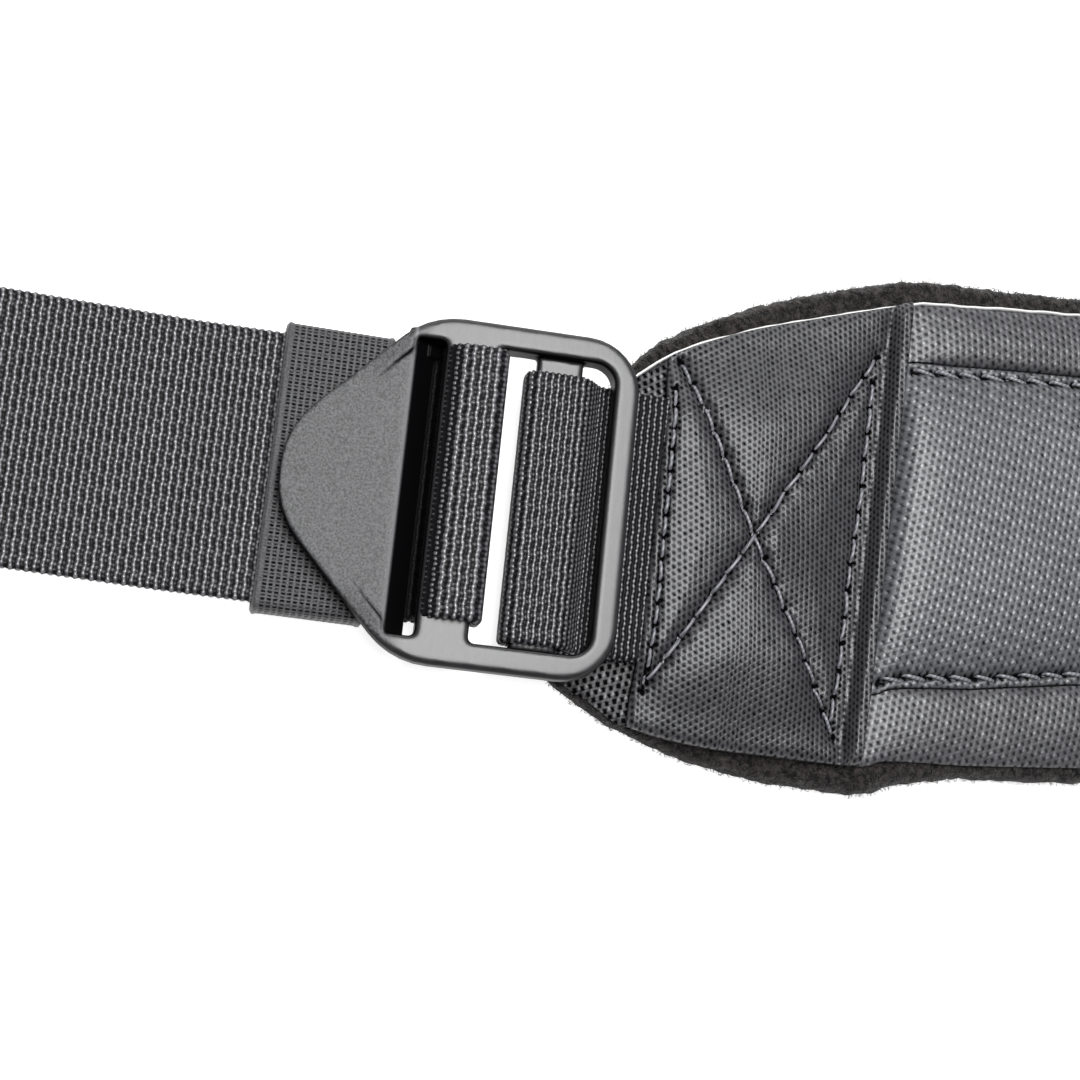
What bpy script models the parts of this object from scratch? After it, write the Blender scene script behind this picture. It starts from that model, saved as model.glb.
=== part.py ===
"""Rolling bag strap, lying flat: a 50 mm webbing threaded through a ladder-lock buckle, and the padded end
that the buckle is anchored to. Metres, +Z up, +X along the strap towards the pad."""
import math

import bpy
import bmesh
from mathutils import Vector

# Driving sizes, in metres. X = 0 is the middle of the buckle's first bar.
clearance = 0.0003

# Webbing
webbing_width = 0.050
webbing_thick = 0.0018
free_strand_length = 0.070
tail_in_keeper = 0.012
free_strand_drift = 0.0010
strap_y = 0.0006
anchor_y = -0.0019
lift_run = 0.0160
lift_settle = 0.0027
webbing_bend = 0.0040
anchor_bend = 0.0030
anchor_entry = 0.0023

# Elastic keeper
keeper_length = 0.020
keeper_wall = 0.0010
keeper_side_play = 0.0006
keeper_round = 0.0019
keeper_setback = 0.0086

# Ladder-lock buckle
bar_one_width = 0.0096
bar_two_width = 0.0085
slot_one_width = 0.0055
slot_two_width = 0.0075
slot_three_width = 0.0058
end_rail_width = 0.0047
rail_width = 0.0047
rail_height = 0.0050
tab_length = 0.0213
tab_thick = 0.0038
bar_one_relief = 0.0008
bar_two_thick = 0.0028
bar_round = 0.0008
bar_two_embed = 0.0016
slot_side_play = 0.0020
nose_half_width = 0.0076
nose_round = 0.0168
shoulder_round = 0.0150
outer_corner_round = 0.0100
window_corner_round = 0.0038
slot_corner_round = 0.0010
rim_round = 0.0010
flank_setback = 0.0021
tab_rim = 0.0030
tab_floor_setback = 0.0053
tab_floor_overrun = 0.0014
ramp_before_slot = 0.0092
ramp_after_slot = 0.0033
lock_y = -0.0009

# Pad
tongue_reach = 0.0118
pad_length = 0.1705
pad_width = 0.0890
pad_corner_round = 0.0160
lining_thick = 0.0039
lining_lip = 0.0060
lining_edge_round = 0.0012
cover_wall = 0.0012
border_puff = 0.0014
border_width = 0.0130
centre_panel_height = 0.0060
centre_end_height = 0.0006
centre_end_gap = 0.0004
end_panel_wall = 0.0012
fold_edge_drop = 0.0004
half_rise_past_strands = 0.0050
ridge_width = 0.0024
ridge_height = 0.0034
lap_depth = 0.0300
anchor_margin = 0.0010

ARC_STEP = math.radians(11.25)
SHARP_ANGLE = math.radians(35)
MITRE_LIMIT = 0.5
MOST_OF_HALF_LEG = 0.49
MOST_BORDER_SHARE = 0.3
RAMP_STEPS = 6
PAD_CORNER_STEPS = 4

# Heights and places that follow from the driving sizes
strand_pitch = webbing_thick + clearance
keeper_height = 2 * keeper_wall + 2 * webbing_thick + 3 * clearance
load_z = keeper_wall + clearance + webbing_thick / 2
tail_z = load_z + strand_pitch
cover_z = lining_thick + clearance
cover_top_z = cover_z + cover_wall
lower_anchor_z = cover_top_z + clearance + webbing_thick / 2
upper_anchor_z = lower_anchor_z + strand_pitch
anchor_top_z = upper_anchor_z + webbing_thick / 2

bar_one_left = -bar_one_width / 2
bar_one_right = bar_one_width / 2
window_left = bar_one_left - slot_one_width
tab_left = window_left - tab_length
bar_two_left = bar_one_right + slot_two_width
bar_two_right = bar_two_left + bar_two_width
window_right = bar_two_right + slot_three_width
lock_right = window_right + end_rail_width
flank_x = window_left + flank_setback
window_half = webbing_width / 2 + slot_side_play
lock_half = window_half + rail_width
wrap_gap = clearance + webbing_thick / 2
wrap_round = bar_round + wrap_gap
sharp_wrap = clearance + wrap_gap

keeper_right = bar_one_left - keeper_setback
keeper_left = keeper_right - keeper_length

# The buckle's tab clears the keeper, and its end rail clears the anchor loop that runs under it.
lock_low_z = keeper_height + clearance
lock_high_z = anchor_top_z + clearance
lock_tilt = math.asin((lock_high_z - lock_low_z) / (window_right - tab_left))
lock_z = lock_low_z - tab_left * math.sin(lock_tilt)

pad_left = lock_right - tongue_reach

# Plan of the cover. Columns: place along the pad and across it at the low (-Y) edge and at the high (+Y)
# edge, how far the lining stands out there, how wide the border strips are, how full the padding is, and
# how many steps to the next row. Shares: along of pad_length, across of pad_width, lip of lining_lip,
# border of border_width.
PAD_SECTIONS = (
    # name, low_along, low_across, high_along, high_across, low_lip, high_lip, low_border, high_border,
    # puff, steps
    ("tongue end", 0.001, -0.247, 0.001, 0.135, 0.20, 0.17, 1.0, 1.0, 0.0, 2),
    ("tongue side", 0.015, -0.340, 0.018, 0.200, 0.17, 0.13, 1.0, 1.0, 0.0, 2),
    ("under the rail", 0.059, -0.391, 0.052, 0.261, 0.17, 0.20, 1.0, 1.0, 0.0, 2),
    ("fold", 0.099, -0.431, 0.110, 0.360, 0.10, 0.58, 1.0, 1.0, 0.0, 3),
    ("lap", 0.176, -0.454, 0.191, 0.438, 0.45, 0.78, 1.0, 1.0, 0.0, 3),
    ("lap end", 0.261, -0.457, 0.282, 0.499, 0.75, 0.97, 1.0, 1.0, 0.0, 3),
    ("ridge", 0.362, -0.455, 0.388, 0.564, 0.85, 0.93, 1.02, 0.90, 0.0, 1),
    ("behind the ridge", 0.393, -0.438, 0.416, 0.575, 0.80, 0.92, 1.04, 0.91, 0.6, 1),
    ("full pad", 0.434, -0.431, 0.452, 0.582, 0.62, 0.87, 1.07, 0.92, 1.0, 2),
    ("waist", 0.490, -0.425, 0.501, 0.592, 0.38, 0.80, 1.10, 0.93, 1.0, 3),
    ("middle", 0.613, -0.403, 0.599, 0.609, 0.45, 0.72, 1.21, 0.95, 1.0, 3),
    ("far part", 0.765, -0.373, 0.736, 0.633, 0.42, 0.70, 1.20, 0.99, 1.0, 3),
    ("far corner", 0.897, -0.344, 0.845, 0.654, 0.55, 0.65, 1.15, 1.04, 0.8, 0),
)


def clear_scene():
    for old in list(bpy.data.objects):
        bpy.data.objects.remove(old, do_unlink=True)


def plain_material(name, colour, roughness):
    material = bpy.data.materials.new(name)
    material.use_nodes = True
    shader = material.node_tree.nodes["Principled BSDF"]
    shader.inputs["Base Color"].default_value = (*colour, 1.0)
    shader.inputs["Roughness"].default_value = roughness
    shader.inputs["Metallic"].default_value = 0.0
    return material


def add_object(name, bm, material, parent):
    """Turns a closed bmesh into an object, with its faces pointing out and its round faces smooth."""
    bmesh.ops.recalc_face_normals(bm, faces=bm.faces)
    mesh = bpy.data.meshes.new(name)
    bm.to_mesh(mesh)
    bm.free()
    if material:
        mesh.materials.append(material)
    mesh.shade_smooth()
    mesh.set_sharp_from_angle(angle=SHARP_ANGLE)
    obj = bpy.data.objects.new(name, mesh)
    bpy.context.collection.objects.link(obj)
    obj.parent = parent
    return obj


def rounded_corners(corners, closed):
    """Points of a line through corners (u, v, radius), each turned on an arc that its legs leave room for."""
    points = []
    count = len(corners)
    for index, (u, v, radius) in enumerate(corners):
        here = Vector((u, v))
        if radius <= 0 or not (closed or 0 < index < count - 1):
            points.append(here)
            continue
        before = Vector(corners[index - 1][:2]) - here
        after = Vector(corners[(index + 1) % count][:2]) - here
        turn = math.pi - before.angle(after)
        reach = min(radius * math.tan(turn / 2), MOST_OF_HALF_LEG * min(before.length, after.length))
        fitted = reach / math.tan(turn / 2)
        start = here + before.normalized() * reach
        side = 1 if before.cross(after) < 0 else -1
        heading = -before.normalized()
        centre = start + Vector((-heading.y, heading.x)) * fitted * side
        steps = max(2, math.ceil(turn / ARC_STEP))
        spoke = start - centre
        for step in range(steps + 1):
            angle = side * turn * step / steps
            points.append(centre + Vector((
                spoke.x * math.cos(angle) - spoke.y * math.sin(angle),
                spoke.x * math.sin(angle) + spoke.y * math.cos(angle))))
    return points


def inward(points):
    """For each point of a closed counter-clockwise outline, the step that moves both its sides in by one."""
    steps = []
    for index, here in enumerate(points):
        back = (here - points[index - 1]).normalized()
        ahead = (points[(index + 1) % len(points)] - here).normalized()
        half = Vector((-(back.y + ahead.y), back.x + ahead.x)).normalized()
        steps.append(half / max(half.dot(Vector((-ahead.y, ahead.x))), MITRE_LIMIT))
    return steps


def stacked_solid(outline, levels):
    """A solid between flat ends, from an outline drawn in at each level (inset, z)."""
    bm = bmesh.new()
    steps = inward(outline)
    rings = [[bm.verts.new((*(point + step * inset), z)) for point, step in zip(outline, steps)]
             for inset, z in levels]
    for low, high in zip(rings, rings[1:]):
        for index in range(len(outline)):
            after = (index + 1) % len(outline)
            bm.faces.new((low[index], low[after], high[after], high[index]))
    bm.faces.new(rings[0])
    bm.faces.new(rings[-1])
    return bm


def round_rim(radius, z_low, z_high, steps=3):
    """Levels of a slab whose two rims are rounded."""
    arc = [math.pi / 2 * step / steps for step in range(steps + 1)]
    bottom = [(radius * (1 - math.sin(angle)), z_low + radius * (1 - math.cos(angle))) for angle in arc]
    top = [(inset, z_low + z_high - z) for inset, z in reversed(bottom)]
    return bottom + top


def flared_rim(radius, z_low, z_high, steps=2):
    """Levels of a cutter that widens at the top, so that the rim it leaves at z_high is rounded."""
    over = radius
    levels = [(0, z_low - over)]
    for step in range(steps + 1):
        angle = math.pi / 2 * step / steps
        levels.append((-radius * (1 - math.cos(angle)), z_high - radius * (1 - math.sin(angle))))
    return levels + [(-radius, z_high + over)]


def box_corners(left, right, half, left_round, right_round):
    return ((left, -half, left_round), (right, -half, right_round),
            (right, half, right_round), (left, half, left_round))


def strap_solid(path, width, thick, middle_y):
    """A flat strap whose middle line follows a path in X and Z, and lies at middle_y(x)."""
    bm = bmesh.new()
    rings = []
    for index, here in enumerate(path):
        back = (here - path[index - 1]).normalized() if index else (path[1] - here).normalized()
        ahead = (path[index + 1] - here).normalized() if index < len(path) - 1 else back
        normal = Vector((-(back.y + ahead.y), back.x + ahead.x)).normalized()
        offset = normal * thick / 2 / max(normal.dot(Vector((-ahead.y, ahead.x))), MITRE_LIMIT)
        outer, inner = here + offset, here - offset
        rings.append([bm.verts.new((x, middle_y(here.x) + side * width / 2, z))
                      for side, (x, z) in ((-1, outer), (1, outer), (1, inner), (-1, inner))])
    for first, second in zip(rings, rings[1:]):
        for index in range(4):
            after = (index + 1) % 4
            bm.faces.new((first[index], first[after], second[after], second[index]))
    bm.faces.new(rings[0])
    bm.faces.new(rings[-1])
    return bm


def sheet_solid(lower, upper, keep=lambda row, column: True):
    """A closed solid between two grids of points, with the cells that keep() names."""
    bm = bmesh.new()
    low = [[bm.verts.new(point) for point in row] for row in lower]
    high = [[bm.verts.new(point) for point in row] for row in upper]
    kept = [(i, j) for i in range(len(low) - 1) for j in range(len(low[0]) - 1) if keep(i, j)]
    uses = {}
    for i, j in kept:
        ring = ((i, j), (i + 1, j), (i + 1, j + 1), (i, j + 1))
        bm.faces.new([high[a][b] for a, b in ring])
        bm.faces.new([low[a][b] for a, b in reversed(ring)])
        for here, after in zip(ring, ring[1:] + ring[:1]):
            uses.setdefault(frozenset((here, after)), []).append((here, after))
    for edges in uses.values():
        if len(edges) == 1:
            (a, b), (c, d) = edges[0]
            bm.faces.new((low[a][b], low[c][d], high[c][d], high[a][b]))
    bmesh.ops.delete(bm, geom=[vert for vert in bm.verts if not vert.link_faces], context="VERTS")
    return bm


def smooth_step(share):
    share = min(max(share, 0.0), 1.0)
    return share * share * (3 - 2 * share)


def blend(first, second, share):
    return first + (second - first) * share


def lock_point(x, z):
    """A point of the buckle's own X and Z, in the strap's frame."""
    return (x * math.cos(lock_tilt) - z * math.sin(lock_tilt),
            lock_z + x * math.sin(lock_tilt) + z * math.cos(lock_tilt))


# Main webbing: free strand, under the buckle, up through slot two, over bar one, down slot one, tail
def make_main_webbing(frame):
    floor_z = webbing_thick / 2
    over_bar = rail_height + wrap_gap
    under_bar = bar_one_relief - wrap_gap
    path = rounded_corners((
        (keeper_left - free_strand_length, floor_z, 0),
        (keeper_left - lift_run, floor_z, webbing_bend),
        (keeper_left - lift_settle, load_z, webbing_bend),
        (keeper_right + webbing_thick, load_z, webbing_bend),
        (*lock_point(bar_one_right + wrap_gap, under_bar), sharp_wrap),
        (*lock_point(bar_one_right + wrap_gap, over_bar), wrap_round),
        (*lock_point(bar_one_left - wrap_gap, over_bar), wrap_round),
        (*lock_point(bar_one_left - wrap_gap, under_bar - clearance), wrap_round),
        (keeper_right + webbing_thick / 3, tail_z, webbing_bend),
        (keeper_right - tail_in_keeper, tail_z, 0),
    ), closed=False)
    free_run = keeper_right - path[0].x

    def middle_y(x):
        return strap_y + free_strand_drift * max(keeper_right - x, 0) / free_run

    solid = strap_solid(path, webbing_width, webbing_thick, middle_y)
    add_object("main_webbing", solid, plain_material("woven_webbing", (0.030, 0.030, 0.032), 0.80), frame)


# Elastic keeper: a flat sleeve round the load strand and the tail
def make_elastic_keeper(frame):
    inner_half = webbing_width / 2 + keeper_side_play
    outer_half = inner_half + keeper_wall
    outer = rounded_corners(
        [(y, z + keeper_height / 2, keeper_round) for y, z, _ in
         box_corners(-outer_half, outer_half, keeper_height / 2, 0, 0)], closed=True)
    steps = inward(outer)
    bm = bmesh.new()
    rings = [[bm.verts.new((x, strap_y + point.x + step.x * inset, point.y + step.y * inset))
              for point, step in zip(outer, steps)]
             for x, inset in ((keeper_left, 0), (keeper_right, 0),
                              (keeper_right, keeper_wall), (keeper_left, keeper_wall))]
    for first, second in zip(rings, rings[1:] + rings[:1]):
        for index in range(len(outer)):
            after = (index + 1) % len(outer)
            bm.faces.new((first[index], first[after], second[after], second[index]))
    add_object("elastic_keeper", bm, plain_material("woven_elastic", (0.036, 0.036, 0.038), 0.85), frame)


# Ladder-lock buckle, drawn flat and then laid at its tilt
def lock_outline():
    low_side = [(tab_left, -nose_half_width, nose_round), (flank_x, -lock_half, shoulder_round),
                (lock_right, -lock_half, outer_corner_round)]
    high_side = [(x, -y, radius) for x, y, radius in reversed(low_side)]
    return rounded_corners(low_side + high_side, closed=True)


def tab_floor_outline():
    """The tab's flat top, inside the rails that rise beside it."""
    slope = (lock_half - nose_half_width) / (flank_x - tab_left)
    drop = tab_rim * math.hypot(1, slope)
    side = window_half - slot_side_play
    start = tab_left + tab_floor_setback
    start_y = nose_half_width + slope * (start - tab_left) - drop
    meet_x = tab_left + (side + drop - nose_half_width) / slope
    end = window_left + tab_floor_overrun
    low_side = [(start, -start_y, 0), (min(meet_x, end - clearance), -side, slot_corner_round),
                (end, -side, 0)]
    high_side = [(x, -y, radius) for x, y, radius in reversed(low_side)]
    return rounded_corners(low_side + high_side, closed=True)


def rail_ramp_solid():
    """What is taken off above the tab and above the rails' ramps down to it."""
    ramp_start = window_left - ramp_before_slot
    ramp_end = window_left + ramp_after_slot
    lower = []
    for step in range(RAMP_STEPS + 1):
        share = step / RAMP_STEPS
        z = blend(tab_thick, rail_height + clearance, smooth_step(share))
        lower.append((blend(ramp_start, ramp_end, share), z))
    lower.insert(0, (tab_left - rail_height, tab_thick))
    top = rail_height * 2
    return sheet_solid([[(x, side * 2 * lock_half, z) for side in (-1, 1)] for x, z in lower],
                       [[(x, side * 2 * lock_half, top) for side in (-1, 1)] for x, z in lower])


def make_ladder_lock(frame):
    body = add_object("ladder_lock", stacked_solid(lock_outline(), round_rim(rim_round, 0, rail_height)),
                      plain_material("moulded_nylon", (0.060, 0.061, 0.063), 0.45), frame)
    body.location = (0, lock_y, lock_z)
    body.rotation_euler = (0, -lock_tilt, 0)
    slot_one = box_corners(window_left, bar_one_left, window_half, slot_corner_round, slot_corner_round)
    window = box_corners(bar_one_right, window_right, window_half, slot_corner_round, window_corner_round)
    over_slot = flared_rim(bar_round, 0, rail_height)
    relief = box_corners(bar_one_left - clearance, bar_one_right + clearance, window_half - clearance, 0, 0)
    bar_two = rounded_corners(box_corners(bar_two_left, bar_two_right, bar_two_thick / 2,
                                          bar_round, bar_round), closed=True)
    bar_end = window_half + bar_two_embed
    bar_bm = bmesh.new()
    rings = [[bar_bm.verts.new((point.x, y, point.y + bar_two_thick / 2)) for point in bar_two]
             for y in (-bar_end, bar_end)]
    for index in range(len(bar_two)):
        after = (index + 1) % len(bar_two)
        bar_bm.faces.new((rings[0][index], rings[0][after], rings[1][after], rings[1][index]))
    bar_bm.faces.new(rings[0])
    bar_bm.faces.new(rings[1])
    tools = (
        ("slot_one_cut", "DIFFERENCE", stacked_solid(rounded_corners(slot_one, True), over_slot)),
        ("window_cut", "DIFFERENCE", stacked_solid(rounded_corners(window, True), over_slot)),
        ("relief_cut", "DIFFERENCE", stacked_solid([Vector(corner[:2]) for corner in relief],
                                                   [(0, -rail_height), (0, bar_one_relief)])),
        ("tab_floor_cut", "DIFFERENCE", stacked_solid(tab_floor_outline(),
                                                      [(0, tab_thick), (0, rail_height * 2)])),
        ("rail_ramp_cut", "DIFFERENCE", rail_ramp_solid()),
        ("bar_two_join", "UNION", bar_bm),
    )
    for name, operation, bm in tools:
        tool = add_object(name, bm, None, body)
        tool.hide_render = True
        tool.display_type = "WIRE"
        modifier = body.modifiers.new(name, "BOOLEAN")
        modifier.operation = operation
        modifier.object = tool


# Anchor webbing: out of the pad, under the end rail, round bar two and back
def make_anchor_webbing(frame, stations):
    strand_end = anchor_end(stations)
    path = rounded_corners((
        (strand_end, upper_anchor_z, 0),
        (window_right - anchor_entry, upper_anchor_z, anchor_bend),
        (*lock_point(bar_two_right + clearance, bar_two_thick + wrap_gap), wrap_round),
        (*lock_point(bar_two_left - wrap_gap, bar_two_thick + wrap_gap), wrap_round),
        (*lock_point(bar_two_left - wrap_gap, -wrap_gap), wrap_round),
        (pad_left + webbing_thick, lower_anchor_z, anchor_bend),
        (strand_end, lower_anchor_z, 0),
    ), closed=False)
    solid = strap_solid(path, webbing_width, webbing_thick, lambda x: anchor_y)
    add_object("anchor_webbing", solid, plain_material("woven_anchor", (0.026, 0.026, 0.028), 0.80), frame)


def pad_stations():
    """Smoothly blended rows of the section table, then the rounded far corners. Each is a dictionary."""
    names = ("low", "high", "low_lip", "high_lip", "low_border", "high_border", "puff")
    rows = []
    for _, low_x, low_y, high_x, high_y, low_lip, high_lip, low_border, high_border, puff, _ in PAD_SECTIONS:
        rows.append((Vector((pad_left + low_x * pad_length, low_y * pad_width)),
                     Vector((pad_left + high_x * pad_length, high_y * pad_width)),
                     low_lip * lining_lip, high_lip * lining_lip,
                     low_border * border_width, high_border * border_width, puff))
    stations = []
    for index, section in enumerate(PAD_SECTIONS):
        title, steps = section[0], section[-1]
        a, b = rows[max(index - 1, 0)], rows[index]
        c, d = rows[min(index + 1, len(rows) - 1)], rows[min(index + 2, len(rows) - 1)]
        for step in range(max(steps, 1)):
            share = step / max(steps, 1)
            station = {"name": "" if step else title}
            for column, name in enumerate(names):
                smooth = column < 2
                station[name] = (catmull_rom(a[column], b[column], c[column], d[column], share) if smooth
                                 else blend(b[column], c[column], share))
            stations.append(station)
    last = stations[-1]
    across = (last["high"] - last["low"]).normalized()
    along = Vector((across.y, -across.x))
    for step in range(1, PAD_CORNER_STEPS + 1):
        angle = math.pi / 2 * step / PAD_CORNER_STEPS
        move = along * pad_corner_round * math.sin(angle)
        draw_in = across * pad_corner_round * (1 - math.cos(angle))
        stations.append({**last, "name": "", "low": last["low"] + move + draw_in,
                         "high": last["high"] + move - draw_in,
                         "puff": last["puff"] * (1 - step / PAD_CORNER_STEPS)})
    return stations


def catmull_rom(a, b, c, d, share):
    return b + 0.5 * share * ((c - a) + share * (
        (2 * a - 5 * b + 4 * c - d) + share * (3 * (b - c) + d - a)))


def station_named(stations, name):
    return next(index for index, station in enumerate(stations) if station["name"] == name)


def across_point(station, share):
    return blend(station["low"], station["high"], share)


def anchor_end(stations):
    """X of the anchor webbing's two ends, under the end panel."""
    return stations[station_named(stations, "fold")]["low"].x + lap_depth


# Pad lining: fleece-faced foam under everything, standing out past the cover
def make_pad_lining(frame, stations):
    edge = [(station["low"], station["low_lip"]) for station in stations]
    edge += [(station["high"], station["high_lip"]) for station in reversed(stations)]
    points = [point for point, _ in edge]
    outline = [point - step * lip for (point, lip), step in zip(edge, inward(points))]
    levels = round_rim(lining_edge_round, 0, lining_thick, steps=2)
    add_object("pad_lining", stacked_solid(outline, levels),
               plain_material("fleece_lining", (0.012, 0.010, 0.009), 0.95), frame)


def seam_shares(station):
    """Shares across the cover where its two seams lie."""
    width = (station["high"] - station["low"]).length
    return (min(station["low_border"] / width, MOST_BORDER_SHARE),
            1 - min(station["high_border"] / width, MOST_BORDER_SHARE))


# Lines across a border strip. Columns: share of the strip from the cover's edge, share of border_puff there.
BORDER_LINES = ((0.0, 0.0), (0.35, 0.8), (0.75, 1.0), (1.0, 0.45))
MIDDLE_FULLNESS = 0.45


def border_columns(station):
    """Shares across the cover at one station, with how full it is there: border, middle and border."""
    low, high = seam_shares(station)
    low_side = [(share * low, full) for share, full in BORDER_LINES]
    high_side = [(1 - share * (1 - high), full) for share, full in reversed(BORDER_LINES)]
    return low_side + [((low + high) / 2, MIDDLE_FULLNESS)] + high_side


# Pad cover: the tongue and the border strips, with the opening that the centre panel fills
def make_pad_cover(frame, stations):
    first, last = station_named(stations, "ridge"), station_named(stations, "far corner")
    lower, upper = [], []
    for station in stations:
        columns = [(across_point(station, share), full) for share, full in border_columns(station)]
        lower.append([(*point, cover_z) for point, _ in columns])
        upper.append([(*point, cover_top_z + border_puff * full * station["puff"])
                      for point, full in columns])
    seam_columns = (len(BORDER_LINES) - 1, len(BORDER_LINES))
    add_object("pad_cover", sheet_solid(lower, upper, lambda row, column: not (
        first <= row < last and column in seam_columns)),
        plain_material("nylon_cover", (0.034, 0.035, 0.037), 0.70), frame)


# Centre panel: a padded nylon panel, domed between its seams. Its dome is (1 - u^SHAPE)^EDGE at u half-widths
# from the middle.
DOME_LINES = (0, 0.04, 0.11, 0.22, 0.36, 0.5, 0.64, 0.78, 0.89, 0.96, 1)
DOME_SHAPE, DOME_EDGE = 3.2, 0.8


def make_centre_panel(frame, stations):
    first, last = station_named(stations, "ridge"), station_named(stations, "far corner")
    lower, upper = [], []
    for index in range(first, last + 1):
        station = stations[index]
        low, high = [across_point(station, share) for share in seam_shares(station)]
        across = (high - low).normalized()
        along = Vector((across.y, -across.x))
        end_gap = centre_end_gap * ((index == first) - (index == last))
        low, high = low + across * clearance + along * end_gap, high - across * clearance + along * end_gap
        points = [(blend(low, high, share), share) for share in DOME_LINES]
        height = (centre_end_height if index in (first, last)
                  else (centre_panel_height - cover_wall) * station["puff"])
        lower.append([(*point, cover_z) for point, _ in points])
        upper.append([(*point, cover_top_z + height * (1 - abs(2 * share - 1) ** DOME_SHAPE) ** DOME_EDGE)
                      for point, share in points])
    add_object("centre_panel", sheet_solid(lower, upper),
               plain_material("nylon_panel", (0.042, 0.043, 0.046), 0.68), frame)


# End panel: the folded lap over the anchor's ends, down to the cover at its sides, with a raised fold.
# Side lines, columns: share of the room from the panel's edge to the anchor's, share of its rise there.
SIDE_LINES = ((0.0, 0.0), (0.30, 0.08), (0.62, 0.55), (0.92, 1.0))
PLATEAU_LINES = (0.06, 0.5, 0.94)
# Ridge rows, columns: how far before the ridge's line (share of ridge_width), lift of the top (share of
# ridge_height).
RIDGE_ROWS = ((1.0, 0.0), (0.7, 0.8), (0.3, 0.8), (0.0, 0.25))


def make_end_panel(frame, stations):
    first, last = station_named(stations, "fold"), station_named(stations, "ridge")
    seat_z = cover_top_z + clearance
    raised_z = anchor_top_z + clearance
    strand_end = anchor_end(stations)
    half = webbing_width / 2 + anchor_margin
    plateau_low, plateau_high = anchor_y - half, anchor_y + half
    rows = [(stations[index]["low"], stations[index]["high"]) for index in range(first, last)]
    ridge = stations[last]
    for before, _ in RIDGE_ROWS:
        shift = Vector((-before * ridge_width, 0))
        rows.append((ridge["low"] + shift, ridge["high"] + shift))
    lower, upper = [], []
    for index, (low, high) in enumerate(rows):
        slope = (high.x - low.x) / (high.y - low.y)
        room_low, room_high = plateau_low - low.y, high.y - plateau_high
        lines = [(low.y + share * room_low, lift) for share, lift in SIDE_LINES]
        lines += [(blend(plateau_low, plateau_high, share), 1) for share in PLATEAU_LINES]
        lines += [(high.y - share * room_high, lift) for share, lift in reversed(SIDE_LINES)]
        on_ridge = index - (last - first)
        rise, top_extra = 1.0, 0.0
        if on_ridge >= 0:
            rise, top_extra = 0.0, RIDGE_ROWS[on_ridge][1] * ridge_height
        low_row, high_row = [], []
        for y, lift in lines:
            x = low.x + slope * (y - low.y)
            if on_ridge < 0:
                rise = 1.0 if x < strand_end + half_rise_past_strands else 0.5
            under = blend(seat_z, raised_z, lift * rise)
            fold_drop = fold_edge_drop if index == 0 else 0.0
            low_row.append((x, y, under))
            high_row.append((x, y, under + end_panel_wall + top_extra - fold_drop))
        lower.append(low_row)
        upper.append(high_row)
    add_object("end_panel", sheet_solid(lower, upper),
               plain_material("nylon_lap", (0.032, 0.033, 0.035), 0.70), frame)


def stand_on_origin(frame):
    """Moves the frame so that the box round every piece stands on the origin, over its middle."""
    bpy.context.view_layer.update()
    graph = bpy.context.evaluated_depsgraph_get()
    corners = []
    for obj in bpy.data.objects:
        if obj.type == "MESH" and not obj.hide_render:
            shape = obj.evaluated_get(graph)
            corners += [obj.matrix_world @ vert.co for vert in shape.data.vertices]
    low = Vector([min(corner[axis] for corner in corners) for axis in range(3)])
    high = Vector([max(corner[axis] for corner in corners) for axis in range(3)])
    frame.location = (-(low.x + high.x) / 2, -(low.y + high.y) / 2, -low.z)


def build():
    clear_scene()
    frame = bpy.data.objects.new("strap_frame", None)
    bpy.context.collection.objects.link(frame)
    stations = pad_stations()
    make_main_webbing(frame)
    make_elastic_keeper(frame)
    make_ladder_lock(frame)
    make_anchor_webbing(frame, stations)
    make_pad_lining(frame, stations)
    make_pad_cover(frame, stations)
    make_centre_panel(frame, stations)
    make_end_panel(frame, stations)
    stand_on_origin(frame)


build()
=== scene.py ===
import math

import bmesh
import bpy
import numpy as np
from mathutils import Matrix, Vector, noise
from mathutils.bvhtree import BVHTree


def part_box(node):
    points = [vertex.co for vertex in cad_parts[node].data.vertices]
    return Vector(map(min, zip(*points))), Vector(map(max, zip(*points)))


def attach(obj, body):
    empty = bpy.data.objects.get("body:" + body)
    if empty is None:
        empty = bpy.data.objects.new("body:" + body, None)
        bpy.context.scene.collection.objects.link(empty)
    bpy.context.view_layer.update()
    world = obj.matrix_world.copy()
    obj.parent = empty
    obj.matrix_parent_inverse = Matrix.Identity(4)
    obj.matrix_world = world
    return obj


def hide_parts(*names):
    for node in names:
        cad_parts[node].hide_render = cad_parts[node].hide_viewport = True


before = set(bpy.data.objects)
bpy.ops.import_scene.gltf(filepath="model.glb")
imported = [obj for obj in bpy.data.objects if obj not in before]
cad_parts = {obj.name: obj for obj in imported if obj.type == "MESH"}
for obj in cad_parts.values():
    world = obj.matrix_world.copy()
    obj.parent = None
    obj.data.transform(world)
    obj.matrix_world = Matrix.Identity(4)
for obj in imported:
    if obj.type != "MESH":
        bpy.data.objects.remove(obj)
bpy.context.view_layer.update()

mm = 0.001

# Main webbing. Real piece: 50 mm luggage webbing of dark grey polyester, woven flat on a narrow loom with a rib
# across it every 1.4 mm. One length lies on the floor, comes up through the buckle's middle slot, turns back
# over its first bar and lies on itself in the keeper.
keeper_low, keeper_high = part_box("elastic_keeper")
anchor_low, anchor_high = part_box("anchor_webbing")
bar_x = keeper_high.x + 13.4 * mm                       # middle of the buckle's first bar
strap_y = (anchor_low.y + anchor_high.y) / 2 + 1.9 * mm  # the strap's own middle line
place = np.array((bar_x, strap_y, 0.0))

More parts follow.
